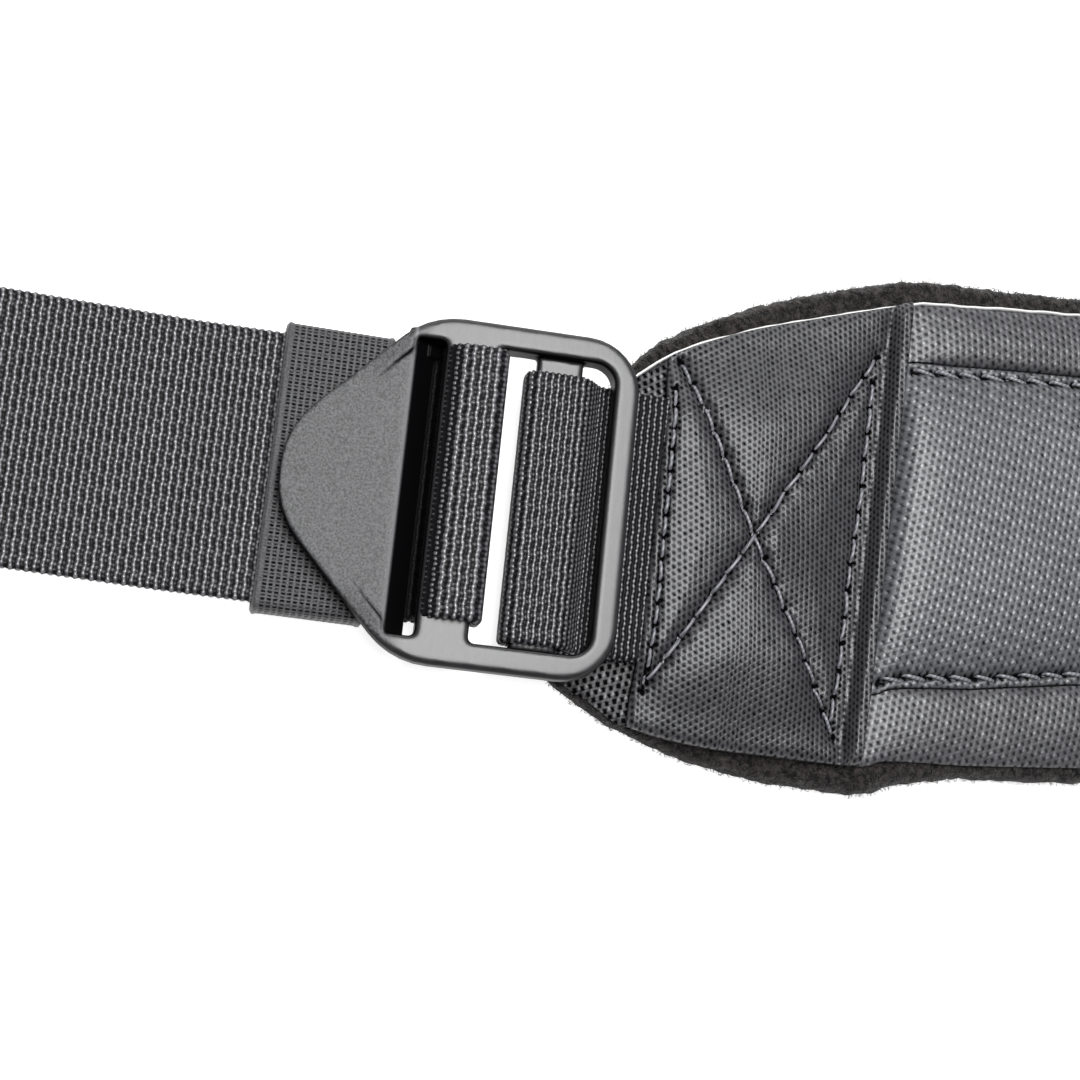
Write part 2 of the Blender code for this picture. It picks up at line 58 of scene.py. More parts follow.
webbing_width, webbing_thick = 50.0 * mm, 1.8 * mm
rib_pitch, bead_pitch = 1.40 * mm, 0.945 * mm  # ribs along the strap; loops of yarn along each rib
zigzag = 0.07                                  # how far a rib sways, as a share of the pitch, over 3 loops
rib_depth = 0.34 * mm
# Columns: x from bar one, z, bend radius, all in mm. The line that the webbing's middle follows.
main_path = ((-103.4, 0.9, 0), (-49.4, 0.9, 4.0), (-36.1, 2.2, 4.0), (-11.6, 2.2, 4.0), (6.01, 8.40, 1.5),
             (5.66, 14.99, 2.0), (-1.2, 14.95, 6.0), (-4.4, 12.3, 3.0), (-4.6, 6.6, 1.6), (-12.8, 4.3, 4.0),
             (-25.4, 4.3, 0))


def linear(code):
    """A colour from its sRGB hex code."""
    parts = [int(code[k:k + 2], 16) / 255 for k in (1, 3, 5)]
    return (*[c / 12.92 if c <= 0.04045 else ((c + 0.055) / 1.055) ** 2.4 for c in parts], 1.0)


def add_node(tree, kind, inputs=None, **settings):
    """Adds a node with its settings, sets or links its inputs, and gives its first output."""
    made = tree.nodes.new(kind)
    for name, value in settings.items():
        setattr(made, name, value)
    for key, value in (inputs or {}).items():
        if isinstance(value, bpy.types.NodeSocket):
            tree.links.new(value, made.inputs[key])
        else:
            made.inputs[key].default_value = value
    return made.outputs[0] if made.outputs else made


def rounded_path(corners):
    """Points of a line through corners (x, z, bend radius), each bend on an arc."""
    points = []
    for k, (x, z, radius) in enumerate(corners):
        here = Vector((x, z))
        if radius <= 0:
            points.append(here)
            continue
        back, ahead = Vector(corners[k - 1][:2]) - here, Vector(corners[k + 1][:2]) - here
        turn = math.pi - back.angle(ahead)
        reach = min(radius * math.tan(turn / 2), 0.49 * back.length, 0.49 * ahead.length)
        side = 1 if back.cross(ahead) < 0 else -1
        start, heading = here + back.normalized() * reach, -back.normalized()
        centre = start + Vector((-heading.y, heading.x)) * reach / math.tan(turn / 2) * side
        steps = max(3, math.ceil(turn / math.radians(9)))
        points += [centre + Matrix.Rotation(side * turn * step / steps, 2) @ (start - centre)
                   for step in range(steps + 1)]
    return np.array(points) * mm


def even_points(points, step):
    """(distance along, point) at even steps along a line."""
    far = np.r_[0, np.cumsum(np.linalg.norm(np.diff(points, axis=0), axis=1))]
    along = np.linspace(0, far[-1], max(2, round(far[-1] / step)) + 1)
    return along, np.stack([np.interp(along, far, column) for column in points.T], axis=1)


def skin(name, rings, cloth, looped=False):
    """A closed skin over rings of points, with cloth coordinates in metres for its weave."""
    count, size = rings.shape[:2]
    index = np.arange(count * size).reshape(count, size)
    here, there = (index, np.roll(index, -1, axis=0)) if looped else (index[:-1], index[1:])
    quads = np.stack([here, there, np.roll(there, -1, axis=1), np.roll(here, -1, axis=1)], axis=-1).reshape(-1, 4)
    if not looped:
        pair = np.arange(size // 2 - 1)
        for ring, turned in ((index[0], 1), (index[-1], -1)):
            cap = np.stack([ring[pair], ring[pair + 1], ring[size - 2 - pair], ring[size - 1 - pair]], axis=-1)
            quads = np.concatenate([quads, cap[:, ::turned]])
    return solid(name, rings.reshape(-1, 3), quads, cloth.reshape(-1, 2))


def solid(name, points, quads, cloth):
    """An object from points and quads, turned so that its faces point out."""
    a, b, c, d = (points[quads[:, k]] for k in range(4))
    volume = (np.cross(b - a, c - a) * a).sum() + (np.cross(c - a, d - a) * a).sum()
    if volume < 0:
        quads = quads[:, ::-1]
    mesh = bpy.data.meshes.new(name)
    mesh.from_pydata(points.tolist(), [], quads.tolist())
    corner = np.empty(len(mesh.loops), np.int32)
    mesh.loops.foreach_get("vertex_index", corner)
    mesh.uv_layers.new(name="cloth").data.foreach_set("uv", cloth[corner].astype(np.float32).ravel())
    mesh.shade_smooth()
    made = bpy.data.objects.new(name, mesh)
    bpy.context.collection.objects.link(made)
    return made


def webbing_relief(along, across, rib, bead):
    """How far the weave stands up, from 0 between its ribs to 1 on them."""
    number = np.round(along / rib)
    sway = zigzag * np.sin(2 * math.pi * (across / bead + 0.5 * (number % 2)) / 3)
    away = np.abs(along / rib - number - sway)
    return np.cos(np.minimum(away, 0.5) * math.pi) ** 1.5


def webbing_solid(name, corners, middle, rib, bead, step, painted_strap_shade):
    """Woven strap along a bent line. middle(x) is the Y of its middle, and sunk(x, z), in mm from bar one, how much
    painted shade darkens the strap there, from 0 to 1."""
    along, line = even_points(rounded_path(corners), step)
    tangent = np.gradient(line, axis=0)
    tangent /= np.linalg.norm(tangent, axis=1, keepdims=True)
    normal = np.stack([-tangent[:, 1], tangent[:, 0]], axis=1)
    flat = np.linspace(-webbing_width / 2, webbing_width / 2, 104)
    across, side = np.r_[flat, flat[::-1]], np.repeat((1.0, -1.0), len(flat))
    edge = np.clip((np.abs(across) - (webbing_width / 2 - 0.8 * mm)) / (0.8 * mm), 0, 1)
    relief = webbing_relief(along[:, None], across[None, :], rib, bead)
    half = webbing_thick / 2 * (1 - 0.55 * edge ** 2) - rib_depth * (1 - relief) * (1 - 0.6 * edge)
    scallop = edge * 0.16 * mm * np.cos(2 * math.pi * along / rib)[:, None] * np.sign(across)
    lift = half * side
    rings = np.stack([line[:, :1] + normal[:, :1] * lift,
                      middle(line[:, :1]) + across + scallop,
                      line[:, 1:] + normal[:, 1:] * lift], axis=-1) + place
    cloth = np.stack(np.broadcast_arrays(along[:, None], across[None, :]), axis=-1)
    made = skin(name, rings, cloth)
    spots = (rings.reshape(-1, 3) - place) / mm
    shares = painted_strap_shade(spots[:, 0], spots[:, 2]).astype(np.float32)
    made.data.attributes.new("painted_strap_shade", "FLOAT", "POINT").data.foreach_set("value", shares)
    return made


def webbing_polyester(name, rib, bead, light, dark):
    """Filament polyester webbing: each rib is a swaying chain of yarn loops that catch the light, with a
    little weft and almost black pits between the ribs. Pits keep no gloss."""
    material = bpy.data.materials.new(name)
    material.use_nodes = True
    tree = material.node_tree
    shader = tree.nodes["Principled BSDF"]
    cloth = add_node(tree, "ShaderNodeUVMap", uv_map="cloth")
    split = add_node(tree, "ShaderNodeSeparateXYZ", {0: cloth}).node

    def calculate(operation, *values):
        return add_node(tree, "ShaderNodeMath", dict(enumerate(values)), operation=operation)

    u = calculate("DIVIDE", split.outputs[0], rib)
    loops = calculate("DIVIDE", split.outputs[1], bead)
    number = calculate("ROUND", u)
    beside = calculate("SUBTRACT", u, number)
    v = calculate("MULTIPLY_ADD", calculate("PINGPONG", number, 1.0), 0.5, loops)
    sway = calculate("SINE", calculate("MULTIPLY", v, 2 * math.pi / 3))
    away = calculate("ABSOLUTE", calculate("MULTIPLY_ADD", sway, -zigzag, beside))
    strand = add_node(tree, "ShaderNodeMapRange", {"Value": away, 1: 0.05, 2: 0.42, 3: 1.0, 4: 0.0},
                      interpolation_type="SMOOTHSTEP")
    loop = calculate("MULTIPLY_ADD", calculate("COSINE", calculate("MULTIPLY", v, 2 * math.pi)), 0.30, 0.70)
    strand = calculate("MULTIPLY", strand, loop)
    # A little weft shows at every loop, more at every third
    between = calculate("MULTIPLY_ADD", calculate("PINGPONG", calculate("FLOOR", u), 1.0), 0.5, loops)
    bridge = calculate("COSINE", calculate("MULTIPLY", between, 2 * math.pi))
    wide = calculate("COSINE", calculate("MULTIPLY", between, 2 * math.pi / 3))
    bridge = calculate("MULTIPLY_ADD", wide, 0.06, calculate("MULTIPLY_ADD", bridge, 0.09, 0.15))
    level = calculate("MAXIMUM", strand, bridge)
    # Filaments, drawn at 0.3 mm so that they show, and yarns that lie tighter or looser
    threads = add_node(tree, "ShaderNodeMapping", {0: cloth, "Scale": (3000, 4200, 1)})
    threads = add_node(tree, "ShaderNodeTexNoise", {"Vector": threads, "Scale": 1.0, "Detail": 2.0, "Roughness": 0.6})
    uneven = add_node(tree, "ShaderNodeTexNoise", {"Vector": cloth, "Scale": 500.0, "Detail": 2.0, "Roughness": 0.7})
    height = calculate("MULTIPLY_ADD", threads, 0.4, level)
    height = calculate("MULTIPLY_ADD", uneven, 0.3, height)
    # Painted shade: darker, and with less gloss, where the strap's shade attribute is set
    painted_strap_shade = add_node(tree, "ShaderNodeAttribute", attribute_name="painted_strap_shade").node.outputs["Fac"]
    height = calculate("MULTIPLY_ADD", painted_strap_shade, -0.8, height)
    shade = add_node(tree, "ShaderNodeMapRange", {"Value": height, 1: 0.50, 2: 1.30, 3: 0.03, 4: 1.0})
    colour = add_node(tree, "ShaderNodeMix", {0: shade, 6: linear(dark), 7: linear(light)}, data_type="RGBA")
    tree.links.new(colour.node.outputs[2], shader.inputs["Base Color"])
    tree.links.new(shade, shader.inputs["Specular IOR Level"])
    bump = add_node(tree, "ShaderNodeBump", {"Height": height, "Strength": 0.8, "Distance": 0.16 * mm})
    tree.links.new(bump, shader.inputs["Normal"])
    shader.inputs["Roughness"].default_value = 0.38
    shader.inputs["IOR"].default_value = 1.75
    return material


def main_middle(x):
    """The free strand drifts 1 mm off the straight line as it leaves the keeper."""
    return 0.6 * mm + 1.0 * mm * np.clip((-13.4 * mm - x) / (90 * mm), 0, 1)


# Painted shade on the strap where it dives into the first slot beside the tab
main_webbing = webbing_solid("main_webbing_cloth", main_path, main_middle, rib_pitch, bead_pitch, 0.4 * mm,
                             lambda x, z: np.clip((-2.2 - x) / 2.8, 0, 1) * (x > -11) * (z > 2.5))
main_webbing.data.materials.append(
    webbing_polyester("webbing_polyester", rib_pitch, bead_pitch, "#6a696e", "#09090a"))
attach(main_webbing, "root")
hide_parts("main_webbing")

# Elastic keeper. Real piece: a sleeve of woven charcoal elastic round both layers of the strap, with a firm
# selvage at each end. Rubber cores pull its weft into short dashes along the strap.
keeper_length = keeper_high.x - keeper_low.x
keeper_wall = 1.0 * mm
keeper_round = 1.9 * mm
dash_pitch, dash_row = 1.16 * mm, 0.66 * mm
selvage = 1.0 * mm


def rounded_box(half_y, half_z, radius, step):
    """Points and outward directions round a rounded rectangle, at even steps."""
    line = []
    for turn, (y, z) in enumerate(((1, 1), (-1, 1), (-1, -1), (1, -1))):
        for angle in np.linspace(0, math.pi / 2, 7) + turn * math.pi / 2:
            line.append((y * (half_y - radius) + radius * math.cos(angle),
                         z * (half_z - radius) + radius * math.sin(angle)))
    _, points = even_points(np.array(line + line[:1]), step)
    points = points[:-1]
    heading = np.roll(points, -1, axis=0) - np.roll(points, 1, axis=0)
    heading /= np.linalg.norm(heading, axis=1, keepdims=True)
    return points, np.stack([heading[:, 1], -heading[:, 0]], axis=1)


def woven_elastic():
    """Covered elastic: matt textured polyester yarn, with narrow dark dashes where the weft is drawn in."""
    material = bpy.data.materials.new("woven_elastic")
    material.use_nodes = True
    tree = material.node_tree
    shader = tree.nodes["Principled BSDF"]
    cloth = add_node(tree, "ShaderNodeUVMap", uv_map="cloth")
    split = add_node(tree, "ShaderNodeSeparateXYZ", {0: cloth}).node
    row = add_node(tree, "ShaderNodeMath", {0: split.outputs[1], 1: dash_row}, operation="DIVIDE")
    second = add_node(tree, "ShaderNodeMath", {0: add_node(tree, "ShaderNodeMath", {0: row}, operation="ROUND"),
                                               1: 1.0}, operation="PINGPONG")
    column = add_node(tree, "ShaderNodeMath", {0: split.outputs[0], 1: 1 / dash_pitch}, operation="MULTIPLY")
    fold = add_node(tree, "ShaderNodeMath", {0: row, 1: 0.5}, operation="PINGPONG")
    gap = add_node(tree, "ShaderNodeMapRange", {"Value": fold, 1: 0.12, 2: 0.50, 3: 1.0, 4: 0.0},
                   interpolation_type="SMOOTHSTEP")
    dash = add_node(tree, "ShaderNodeMath", {0: column, 1: 0.5}, operation="PINGPONG")
    dash = add_node(tree, "ShaderNodeMapRange", {"Value": dash, 1: 0.06, 2: 0.30, 3: 0.0, 4: 1.0},
                    interpolation_type="SMOOTHSTEP")
    deep = add_node(tree, "ShaderNodeMath", {0: second, 1: 0.35, 2: 0.65}, operation="MULTIPLY_ADD")
    pit = add_node(tree, "ShaderNodeMath", {0: gap, 1: dash}, operation="MULTIPLY")
    pit = add_node(tree, "ShaderNodeMath", {0: pit, 1: deep}, operation="MULTIPLY")
    # The selvages at both ends are closed weave, with no dashes
    middle = add_node(tree, "ShaderNodeMath", {0: split.outputs[0], 1: keeper_length / 2}, operation="SUBTRACT")
    middle = add_node(tree, "ShaderNodeMath", {0: middle}, operation="ABSOLUTE")
    inside = add_node(tree, "ShaderNodeMapRange",
                      {"Value": middle, 1: keeper_length / 2 - selvage - 0.5 * mm,
                       2: keeper_length / 2 - selvage, 3: 1.0, 4: 0.12})
    pit = add_node(tree, "ShaderNodeMath", {0: pit, 1: inside}, operation="MULTIPLY")
    fuzz = add_node(tree, "ShaderNodeMapping", {0: cloth, "Scale": (1500, 4200, 1)})
    fuzz = add_node(tree, "ShaderNodeTexNoise", {"Vector": fuzz, "Scale": 1.0, "Detail": 3.0, "Roughness": 0.7})
    height = add_node(tree, "ShaderNodeMath", {0: pit, 1: -0.40, 2: fuzz}, operation="MULTIPLY_ADD")
    shade = add_node(tree, "ShaderNodeMapRange", {"Value": height, 1: 0.16, 2: 0.66, 3: 0.0, 4: 1.0})
    tree.links.new(shade, shader.inputs["Specular IOR Level"])
    colour = add_node(tree, "ShaderNodeMix", {0: shade, 6: linear("#060607"), 7: linear("#4b4b4e")},
                      data_type="RGBA")
    tree.links.new(colour.node.outputs[2], shader.inputs["Base Color"])
    bump = add_node(tree, "ShaderNodeBump", {"Height": height, "Strength": 0.8, "Distance": 0.14 * mm})
    tree.links.new(bump, shader.inputs["Normal"])
    shader.inputs["Roughness"].default_value = 0.55
    shader.inputs["Sheen Weight"].default_value = 0.2
    return material


def make_keeper():
    size = keeper_high - keeper_low
    centre = (keeper_high + keeper_low) / 2
    points, out = rounded_box(size.y / 2, size.z / 2, keeper_round, 0.5 * mm)
    outer = np.linspace(0, keeper_length, 54)
    inner = np.linspace(keeper_length - 0.25 * mm, 0.25 * mm, 14)
    from_end = np.minimum(outer, keeper_length - outer)
    # The selvages stand a little proud, with round ends
    bulge = 0.22 * mm * np.exp(-((from_end - 0.6 * mm) / (0.5 * mm)) ** 2) - 0.45 * mm * np.exp(-from_end / (0.15 * mm))
    deep = np.r_[bulge, np.full(len(inner), -keeper_wall)]
    along = np.r_[outer, inner]
    wave = 0.06 * mm * np.sin(2 * math.pi * along[None, :] / dash_pitch)
    round_wave = np.cos(math.pi * np.arange(len(points))[:, None] * 0.5 * mm / dash_row)
    lift = np.minimum(deep[None, :] + wave * round_wave * (deep > -0.5 * mm), 0.22 * mm)
    lift = np.where(out[:, 1:] < -0.3, np.minimum(lift, 0), lift)
    rings = np.stack([keeper_low.x + np.broadcast_to(along, lift.shape),
                      centre.y + points[:, :1] + out[:, :1] * lift,
                      centre.z + points[:, 1:] + out[:, 1:] * lift], axis=-1)
    around = np.arange(len(points)) * 0.5 * mm
    cloth = np.stack(np.broadcast_arrays(along[None, :], around[:, None]), axis=-1)
    return skin("elastic_keeper_sleeve", rings, cloth, looped=True)


keeper = make_keeper()
keeper.data.materials.append(woven_elastic())
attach(keeper, "root")
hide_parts("elastic_keeper")

# Ladder-lock buckle. Real piece: one injection moulding of dark grey nylon 66, with a broad release tab, two
# rails, two bars and an end rail. The tab's top is spark-eroded to a fine grain, and every edge is rounded by
# the mould; the strap has polished the rails.
lock_voxel = 0.32 * mm
grain = 0.42 * mm


def moulded_nylon():
    """Moulded nylon 66, IOR 1.53, finely grained on the tab, so that it scatters light more there. Painted light and
    shade: its upward faces are painted paler and glossier than its near-black walls, with a painted highlight on the
    tab's edge."""
    material = bpy.data.materials.new("moulded_nylon_66")
    material.use_nodes = True
    tree = material.node_tree
    shader = tree.nodes["Principled BSDF"]
    spot = add_node(tree, "ShaderNodeTexCoord").node.outputs["Object"]
    # Grain of the tab's eroded mould, a little over a quarter of a millimetre
    speck = add_node(tree, "ShaderNodeTexNoise", {"Vector": spot, "Scale": 1 / grain, "Detail": 3.0,
                                                  "Roughness": 0.7})
    split = add_node(tree, "ShaderNodeSeparateXYZ", {0: spot}).node
    slot_start = bar_x - 10.3 * mm
    tab = add_node(tree, "ShaderNodeMapRange", {"Value": split.outputs[0], 1: slot_start - 2 * mm,
                                                2: slot_start + 3 * mm, 3: 1.0, 4: 0.0})
    painted_top_light = add_node(tree, "ShaderNodeAttribute", attribute_name="painted_top_light").node.outputs["Fac"]
    shade = add_node(tree, "ShaderNodeMapRange", {"Value": speck, 1: 0.36, 2: 0.64, 3: 0.0, 4: 1.0})
    on_tab = add_node(tree, "ShaderNodeMix", {0: shade, 6: linear("#1c1c1e"), 7: linear("#5c5c5e")},
                      data_type="RGBA").node.outputs[2]
    # Scuffs run along the rails, fine and close together
    scuff = add_node(tree, "ShaderNodeMapping", {0: spot, "Scale": (900, 300, 400)})
    scuff = add_node(tree, "ShaderNodeTexNoise", {"Vector": scuff, "Scale": 1.0, "Detail": 4.0, "Roughness": 0.7})
    scuff = add_node(tree, "ShaderNodeMapRange", {"Value": scuff, 1: 0.3, 2: 0.75, 3: 0.0, 4: 1.0})
    on_rail = add_node(tree, "ShaderNodeMix", {0: scuff, 6: linear("#272729"), 7: linear("#363638")},
                       data_type="RGBA").node.outputs[2]
    top = add_node(tree, "ShaderNodeMix", {0: tab, 6: on_rail, 7: on_tab}, data_type="RGBA").node.outputs[2]
    # Painted light and shade: upward faces take the tab's or rail's colour, walls are painted near black
    colour = add_node(tree, "ShaderNodeMix", {0: painted_top_light, 6: linear("#060607"), 7: top}, data_type="RGBA").node.outputs[2]
    # Painted highlight along the tab's straight edge
    painted_edge_highlight = add_node(tree, "ShaderNodeAttribute", attribute_name="painted_edge_highlight").node.outputs["Fac"]
    colour = add_node(tree, "ShaderNodeMix", {0: painted_edge_highlight, 6: colour, 7: linear("#737376")}, data_type="RGBA")
    tree.links.new(colour.node.outputs[2], shader.inputs["Base Color"])
    rough = add_node(tree, "ShaderNodeMapRange", {"Value": tab, 1: 0.0, 2: 1.0, 3: 0.34, 4: 0.52})
    tree.links.new(rough, shader.inputs["Roughness"])
    relief = add_node(tree, "ShaderNodeMapRange", {"Value": tab, 1: 0.0, 2: 1.0, 3: 0.1, 4: 0.9})
    bump = add_node(tree, "ShaderNodeBump", {"Height": speck, "Strength": relief, "Distance": 0.09 * mm})
    tree.links.new(bump, shader.inputs["Normal"])
    # Painted light and shade in the gloss too: walls have almost none, upward faces full
    gloss = add_node(tree, "ShaderNodeMapRange", {"Value": painted_top_light, 1: 0.0, 2: 0.5, 3: 0.06, 4: 0.5})
    tree.links.new(gloss, shader.inputs["Specular IOR Level"])
    shader.inputs["IOR"].default_value = 1.53
    return material


def plain_copy(made):
    """The evaluated shape of an object as a mesh of its own, with its modifiers gone."""
    graph = bpy.context.evaluated_depsgraph_get()
    mesh = bpy.data.meshes.new_from_object(made.evaluated_get(graph))
    made.modifiers.clear()
    made.data = mesh
    mesh.name = made.name
    return made


def make_lock():
    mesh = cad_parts["ladder_lock"].data.copy()
    joined = bmesh.new()
    joined.from_mesh(mesh)
    bmesh.ops.remove_doubles(joined, verts=joined.verts, dist=1e-6)
    # The ramp under the tab's edge, and the web at the far end of the first slot. Columns: x from bar one, z
    for low, high, outline in ((-28.6, 28.4, ((-11.6, 10.6), (-10.5, 11.5), (-9.9, 11.1), (-6.5, 8.6), (-6.5, 7.9),
                                              (-11.6, 7.6))),
                               (25.8, 28.4, ((-7.6, 11.3), (-3.2, 11.3), (-3.2, 8.3), (-7.6, 8.3))),
                               (23.6, 26.0, ((-7.6, 10.0), (-4.9, 8.4), (-4.9, 7.9), (-7.6, 7.9)))):
        ends = [[joined.verts.new(Vector(place) + Vector((x, y, z)) * mm) for x, z in outline]
                for y in (low, high)]
        joined.faces.new(ends[0])
        joined.faces.new(ends[1][::-1])
        for k in range(len(outline)):
            joined.faces.new((ends[0][k], ends[1][k], ends[1][k - 1], ends[0][k - 1]))
    bmesh.ops.recalc_face_normals(joined, faces=joined.faces)
    joined.to_mesh(mesh)
    joined.free()
    mesh.materials.clear()
    made = bpy.data.objects.new("ladder_lock_moulding", mesh)
    bpy.context.collection.objects.link(made)
    shell = made.modifiers.new("shell", "REMESH")
    shell.mode, shell.voxel_size, shell.use_smooth_shade = "VOXEL", lock_voxel, True
    ease = made.modifiers.new("ease", "SMOOTH")
    ease.factor, ease.iterations = 0.5, 4
    plain_copy(made)
    mesh = made.data
    mesh.shade_smooth()
    # Painted light and shade: faces that point up are painted paler and glossier, walls near black and without gloss
    up = np.array([vert.normal.z for vert in mesh.vertices])
    painted_top_light = np.clip((up - 0.45) / 0.5, 0, 1)
    # Painted shade: the recess between the tab and the first bar, with the ramp in it, is painted near black and
    # without gloss
    spots = (np.array([vert.co for vert in mesh.vertices]) - place) / mm
    recess = (spots[:, 0] > -10.3) & (spots[:, 0] < -4.6) & (spots[:, 2] < 11.25) & (np.abs(spots[:, 1]) < 29)
    painted_top_light[recess] = 0.0
    mesh.attributes.new("painted_top_light", "FLOAT", "POINT").data.foreach_set("value", (painted_top_light ** 1.5).astype(np.float32))
    # A painted highlight: a pale line along the tab's straight edge
    painted_edge_highlight = np.exp(-((spots[:, 0] + 10.65) / 0.24) ** 2) * (spots[:, 2] > 10.7) * (np.abs(spots[:, 1]) < 28)
    mesh.attributes.new("painted_edge_highlight", "FLOAT", "POINT").data.foreach_set("value", painted_edge_highlight.astype(np.float32))
    return made


lock = make_lock()
lock.data.materials.append(moulded_nylon())
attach(lock, "root")
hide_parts("ladder_lock")

# Anchor webbing. Real piece: a short loop of like webbing, with finer ribs, round the buckle's second bar. Both
# its ends go side by side into the pad, where the lap is stitched over them.
anchor_rib = 1.14 * mm
anchor_path = ((66.4, 8.0, 0), (57.0, 8.7, 4.0), (24.6, 8.7, 2.6), (20.86, 13.60, 4.0), (10.87, 13.07, 2.0),
               (11.15, 7.88, 2.0), (21.3, 6.6, 3.0), (57.0, 6.6, 4.0), (66.4, 6.1, 0))

# Painted shade, faint, on the anchor's strands from the end rail on into the pad
anchor = webbing_solid("anchor_webbing_cloth", anchor_path, lambda x: np.full_like(x, -1.9 * mm),
                       anchor_rib, bead_pitch, 0.31 * mm, lambda x, z: 0.2 * np.clip((x - 24.0) / 1.5, 0, 1))
# Painted shade: this copy of the webbing is a little darker than the main strap's
anchor.data.materials.append(
    webbing_polyester("anchor_polyester", anchor_rib, bead_pitch, "#656468", "#08080a"))
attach(anchor, "root")
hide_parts("anchor_webbing")

# Pad lining. Real piece: 4 mm foam faced with black-brown polar fleece, which lies against the hip. It is cut
# larger than the cover, so a soft fuzzy rim shows all round it.
lining_thick = 3.9 * mm
pad_corner = 16.0
# Rows along the pad, in mm. Columns: x and y of the cover's low edge and high edge, how far the lining stands
# out at each, how wide each border strip is, how full the padding is.
pad_table = np.array((
    (19.67, -21.98, 19.67, 12.02, 1.20, 1.02, 13.0, 13.0, 0.0),
    (22.06, -30.26, 22.57, 17.80, 1.02, 0.78, 13.0, 13.0, 0.0),
    (29.56, -34.80, 28.37, 23.23, 1.02, 1.20, 13.0, 13.0, 0.0),
    (36.38, -38.36, 38.26, 32.04, 0.60, 3.48, 13.0, 13.0, 0.0),
    (49.51, -40.41, 52.07, 38.98, 2.70, 4.68, 13.0, 13.0, 0.0),
    (64.00, -40.67, 67.58, 44.41, 4.50, 5.82, 13.0, 13.0, 0.0),
    (81.22, -40.50, 85.65, 50.20, 5.10, 5.58, 13.3, 11.7, 0.0),
    (86.51, -38.98, 90.43, 51.18, 4.80, 5.52, 13.5, 11.8, 0.6),
    (93.50, -38.36, 96.57, 51.80, 3.72, 5.22, 13.9, 12.0, 1.0),
    (103.05, -37.83, 104.92, 52.69, 2.28, 4.80, 14.3, 12.1, 1.0),
    (124.02, -35.87, 121.63, 54.20, 2.70, 4.32, 15.7, 12.4, 1.0),
    (149.93, -33.20, 144.99, 56.34, 2.52, 4.20, 15.6, 12.9, 1.0),
    (172.44, -30.62, 163.57, 58.21, 3.30, 3.90, 15.0, 13.5, 0.8),
)) * np.array((mm,) * 8 + (1.0,))
fold_row, ridge_row, far_row = 3, 6, 12


def pad_lines(step):
    """Rows of the table at even steps along the pad, then round the far corners: (row number, values)."""
    numbers, values = [], []
    last = len(pad_table) - 1
    for k in range(last):
        a, b, c, d = (pad_table[min(max(k + n, 0), last)] for n in (-1, 0, 1, 2))
        parts = max(1, round(math.hypot(*(c - b)[:2]) / step))
        for share in np.arange(parts) / parts:
            row = b + (c - b) * share
            row[:4] = (b + 0.5 * share * ((c - a) + share * ((2 * a - 5 * b + 4 * c - d)
                                                             + share * (3 * (b - c) + d - a))))[:4]
            numbers.append(k + share)
            values.append(row)
    end = pad_table[last]
    across = (end[2:4] - end[:2]) / np.linalg.norm(end[2:4] - end[:2])
    forward = np.array((across[1], -across[0]))
    for angle in np.linspace(0, math.pi / 2, 14):
        row = end.copy()
        move = forward * pad_corner * mm * math.sin(angle)
        draw = across * pad_corner * mm * (1 - math.cos(angle))
        row[:2] += move + draw
        row[2:4] += move - draw
        row[8] *= 1 - 2 * angle / math.pi
        numbers.append(last + 2 * angle / math.pi)
        values.append(row)
    return np.array(numbers), np.array(values)


def noise_field(points, scale, seed):
    """Smooth noise from -1 to 1 at each point, with lumps of about the scale, in metres."""
    flat = points.reshape(-1, 3) / scale + seed
    return np.array([noise.noise(p) for p in flat]).reshape(points.shape[:-1])


def outline_steps(outline):
    """Outward direction at each point of a closed outline."""
    heading = np.roll(outline, -1, axis=0) - np.roll(outline, 1, axis=0)
    heading /= np.maximum(np.linalg.norm(heading, axis=1, keepdims=True), 1e-9)
    return np.stack([heading[:, 1], -heading[:, 0]], axis=1)


def polar_fleece():
    """Brushed polyester fleece: deep, matt, with small nubs of matted fibre and a soft sheen at its edges."""
    material = bpy.data.materials.new("polar_fleece")
    material.use_nodes = True
    tree = material.node_tree
    shader = tree.nodes["Principled BSDF"]
    spot = add_node(tree, "ShaderNodeTexCoord").node.outputs["Object"]
    # Nubs of about 1 mm with fibres of about 0.2 mm
    nubs = add_node(tree, "ShaderNodeTexNoise", {"Vector": spot, "Scale": 900.0, "Detail": 4.0, "Roughness": 0.7})
    shade = add_node(tree, "ShaderNodeMapRange", {"Value": nubs, 1: 0.42, 2: 0.72, 3: 0.0, 4: 1.0})
    colour = add_node(tree, "ShaderNodeMix", {0: shade, 6: linear("#0a0909"), 7: linear("#474240")},
                      data_type="RGBA")
    tree.links.new(colour.node.outputs[2], shader.inputs["Base Color"])
    bump = add_node(tree, "ShaderNodeBump", {"Height": nubs, "Strength": 1.0, "Distance": 0.8 * mm})
    tree.links.new(bump, shader.inputs["Normal"])
    shader.inputs["Roughness"].default_value = 1.0
    shader.inputs["Specular IOR Level"].default_value = 0.1
    shader.inputs["Sheen Weight"].default_value = 0.25
    shader.inputs["Sheen Roughness"].default_value = 0.5
    return material


def lining_outline(step):
    """The lining's outline, counter-clockwise from above, without its last repeat."""
    _, rows = pad_lines(1.0 * mm)
    low, high = rows[:, :2], rows[:, 2:4]
    edge = np.concatenate([low, high[::-1]])
    lip = np.r_[rows[:, 4], rows[::-1, 5]]
    edge = edge + outline_steps(edge) * lip[:, None]
    _, even = even_points(np.concatenate([edge, edge[:1]]), step)
    return even[:-1]


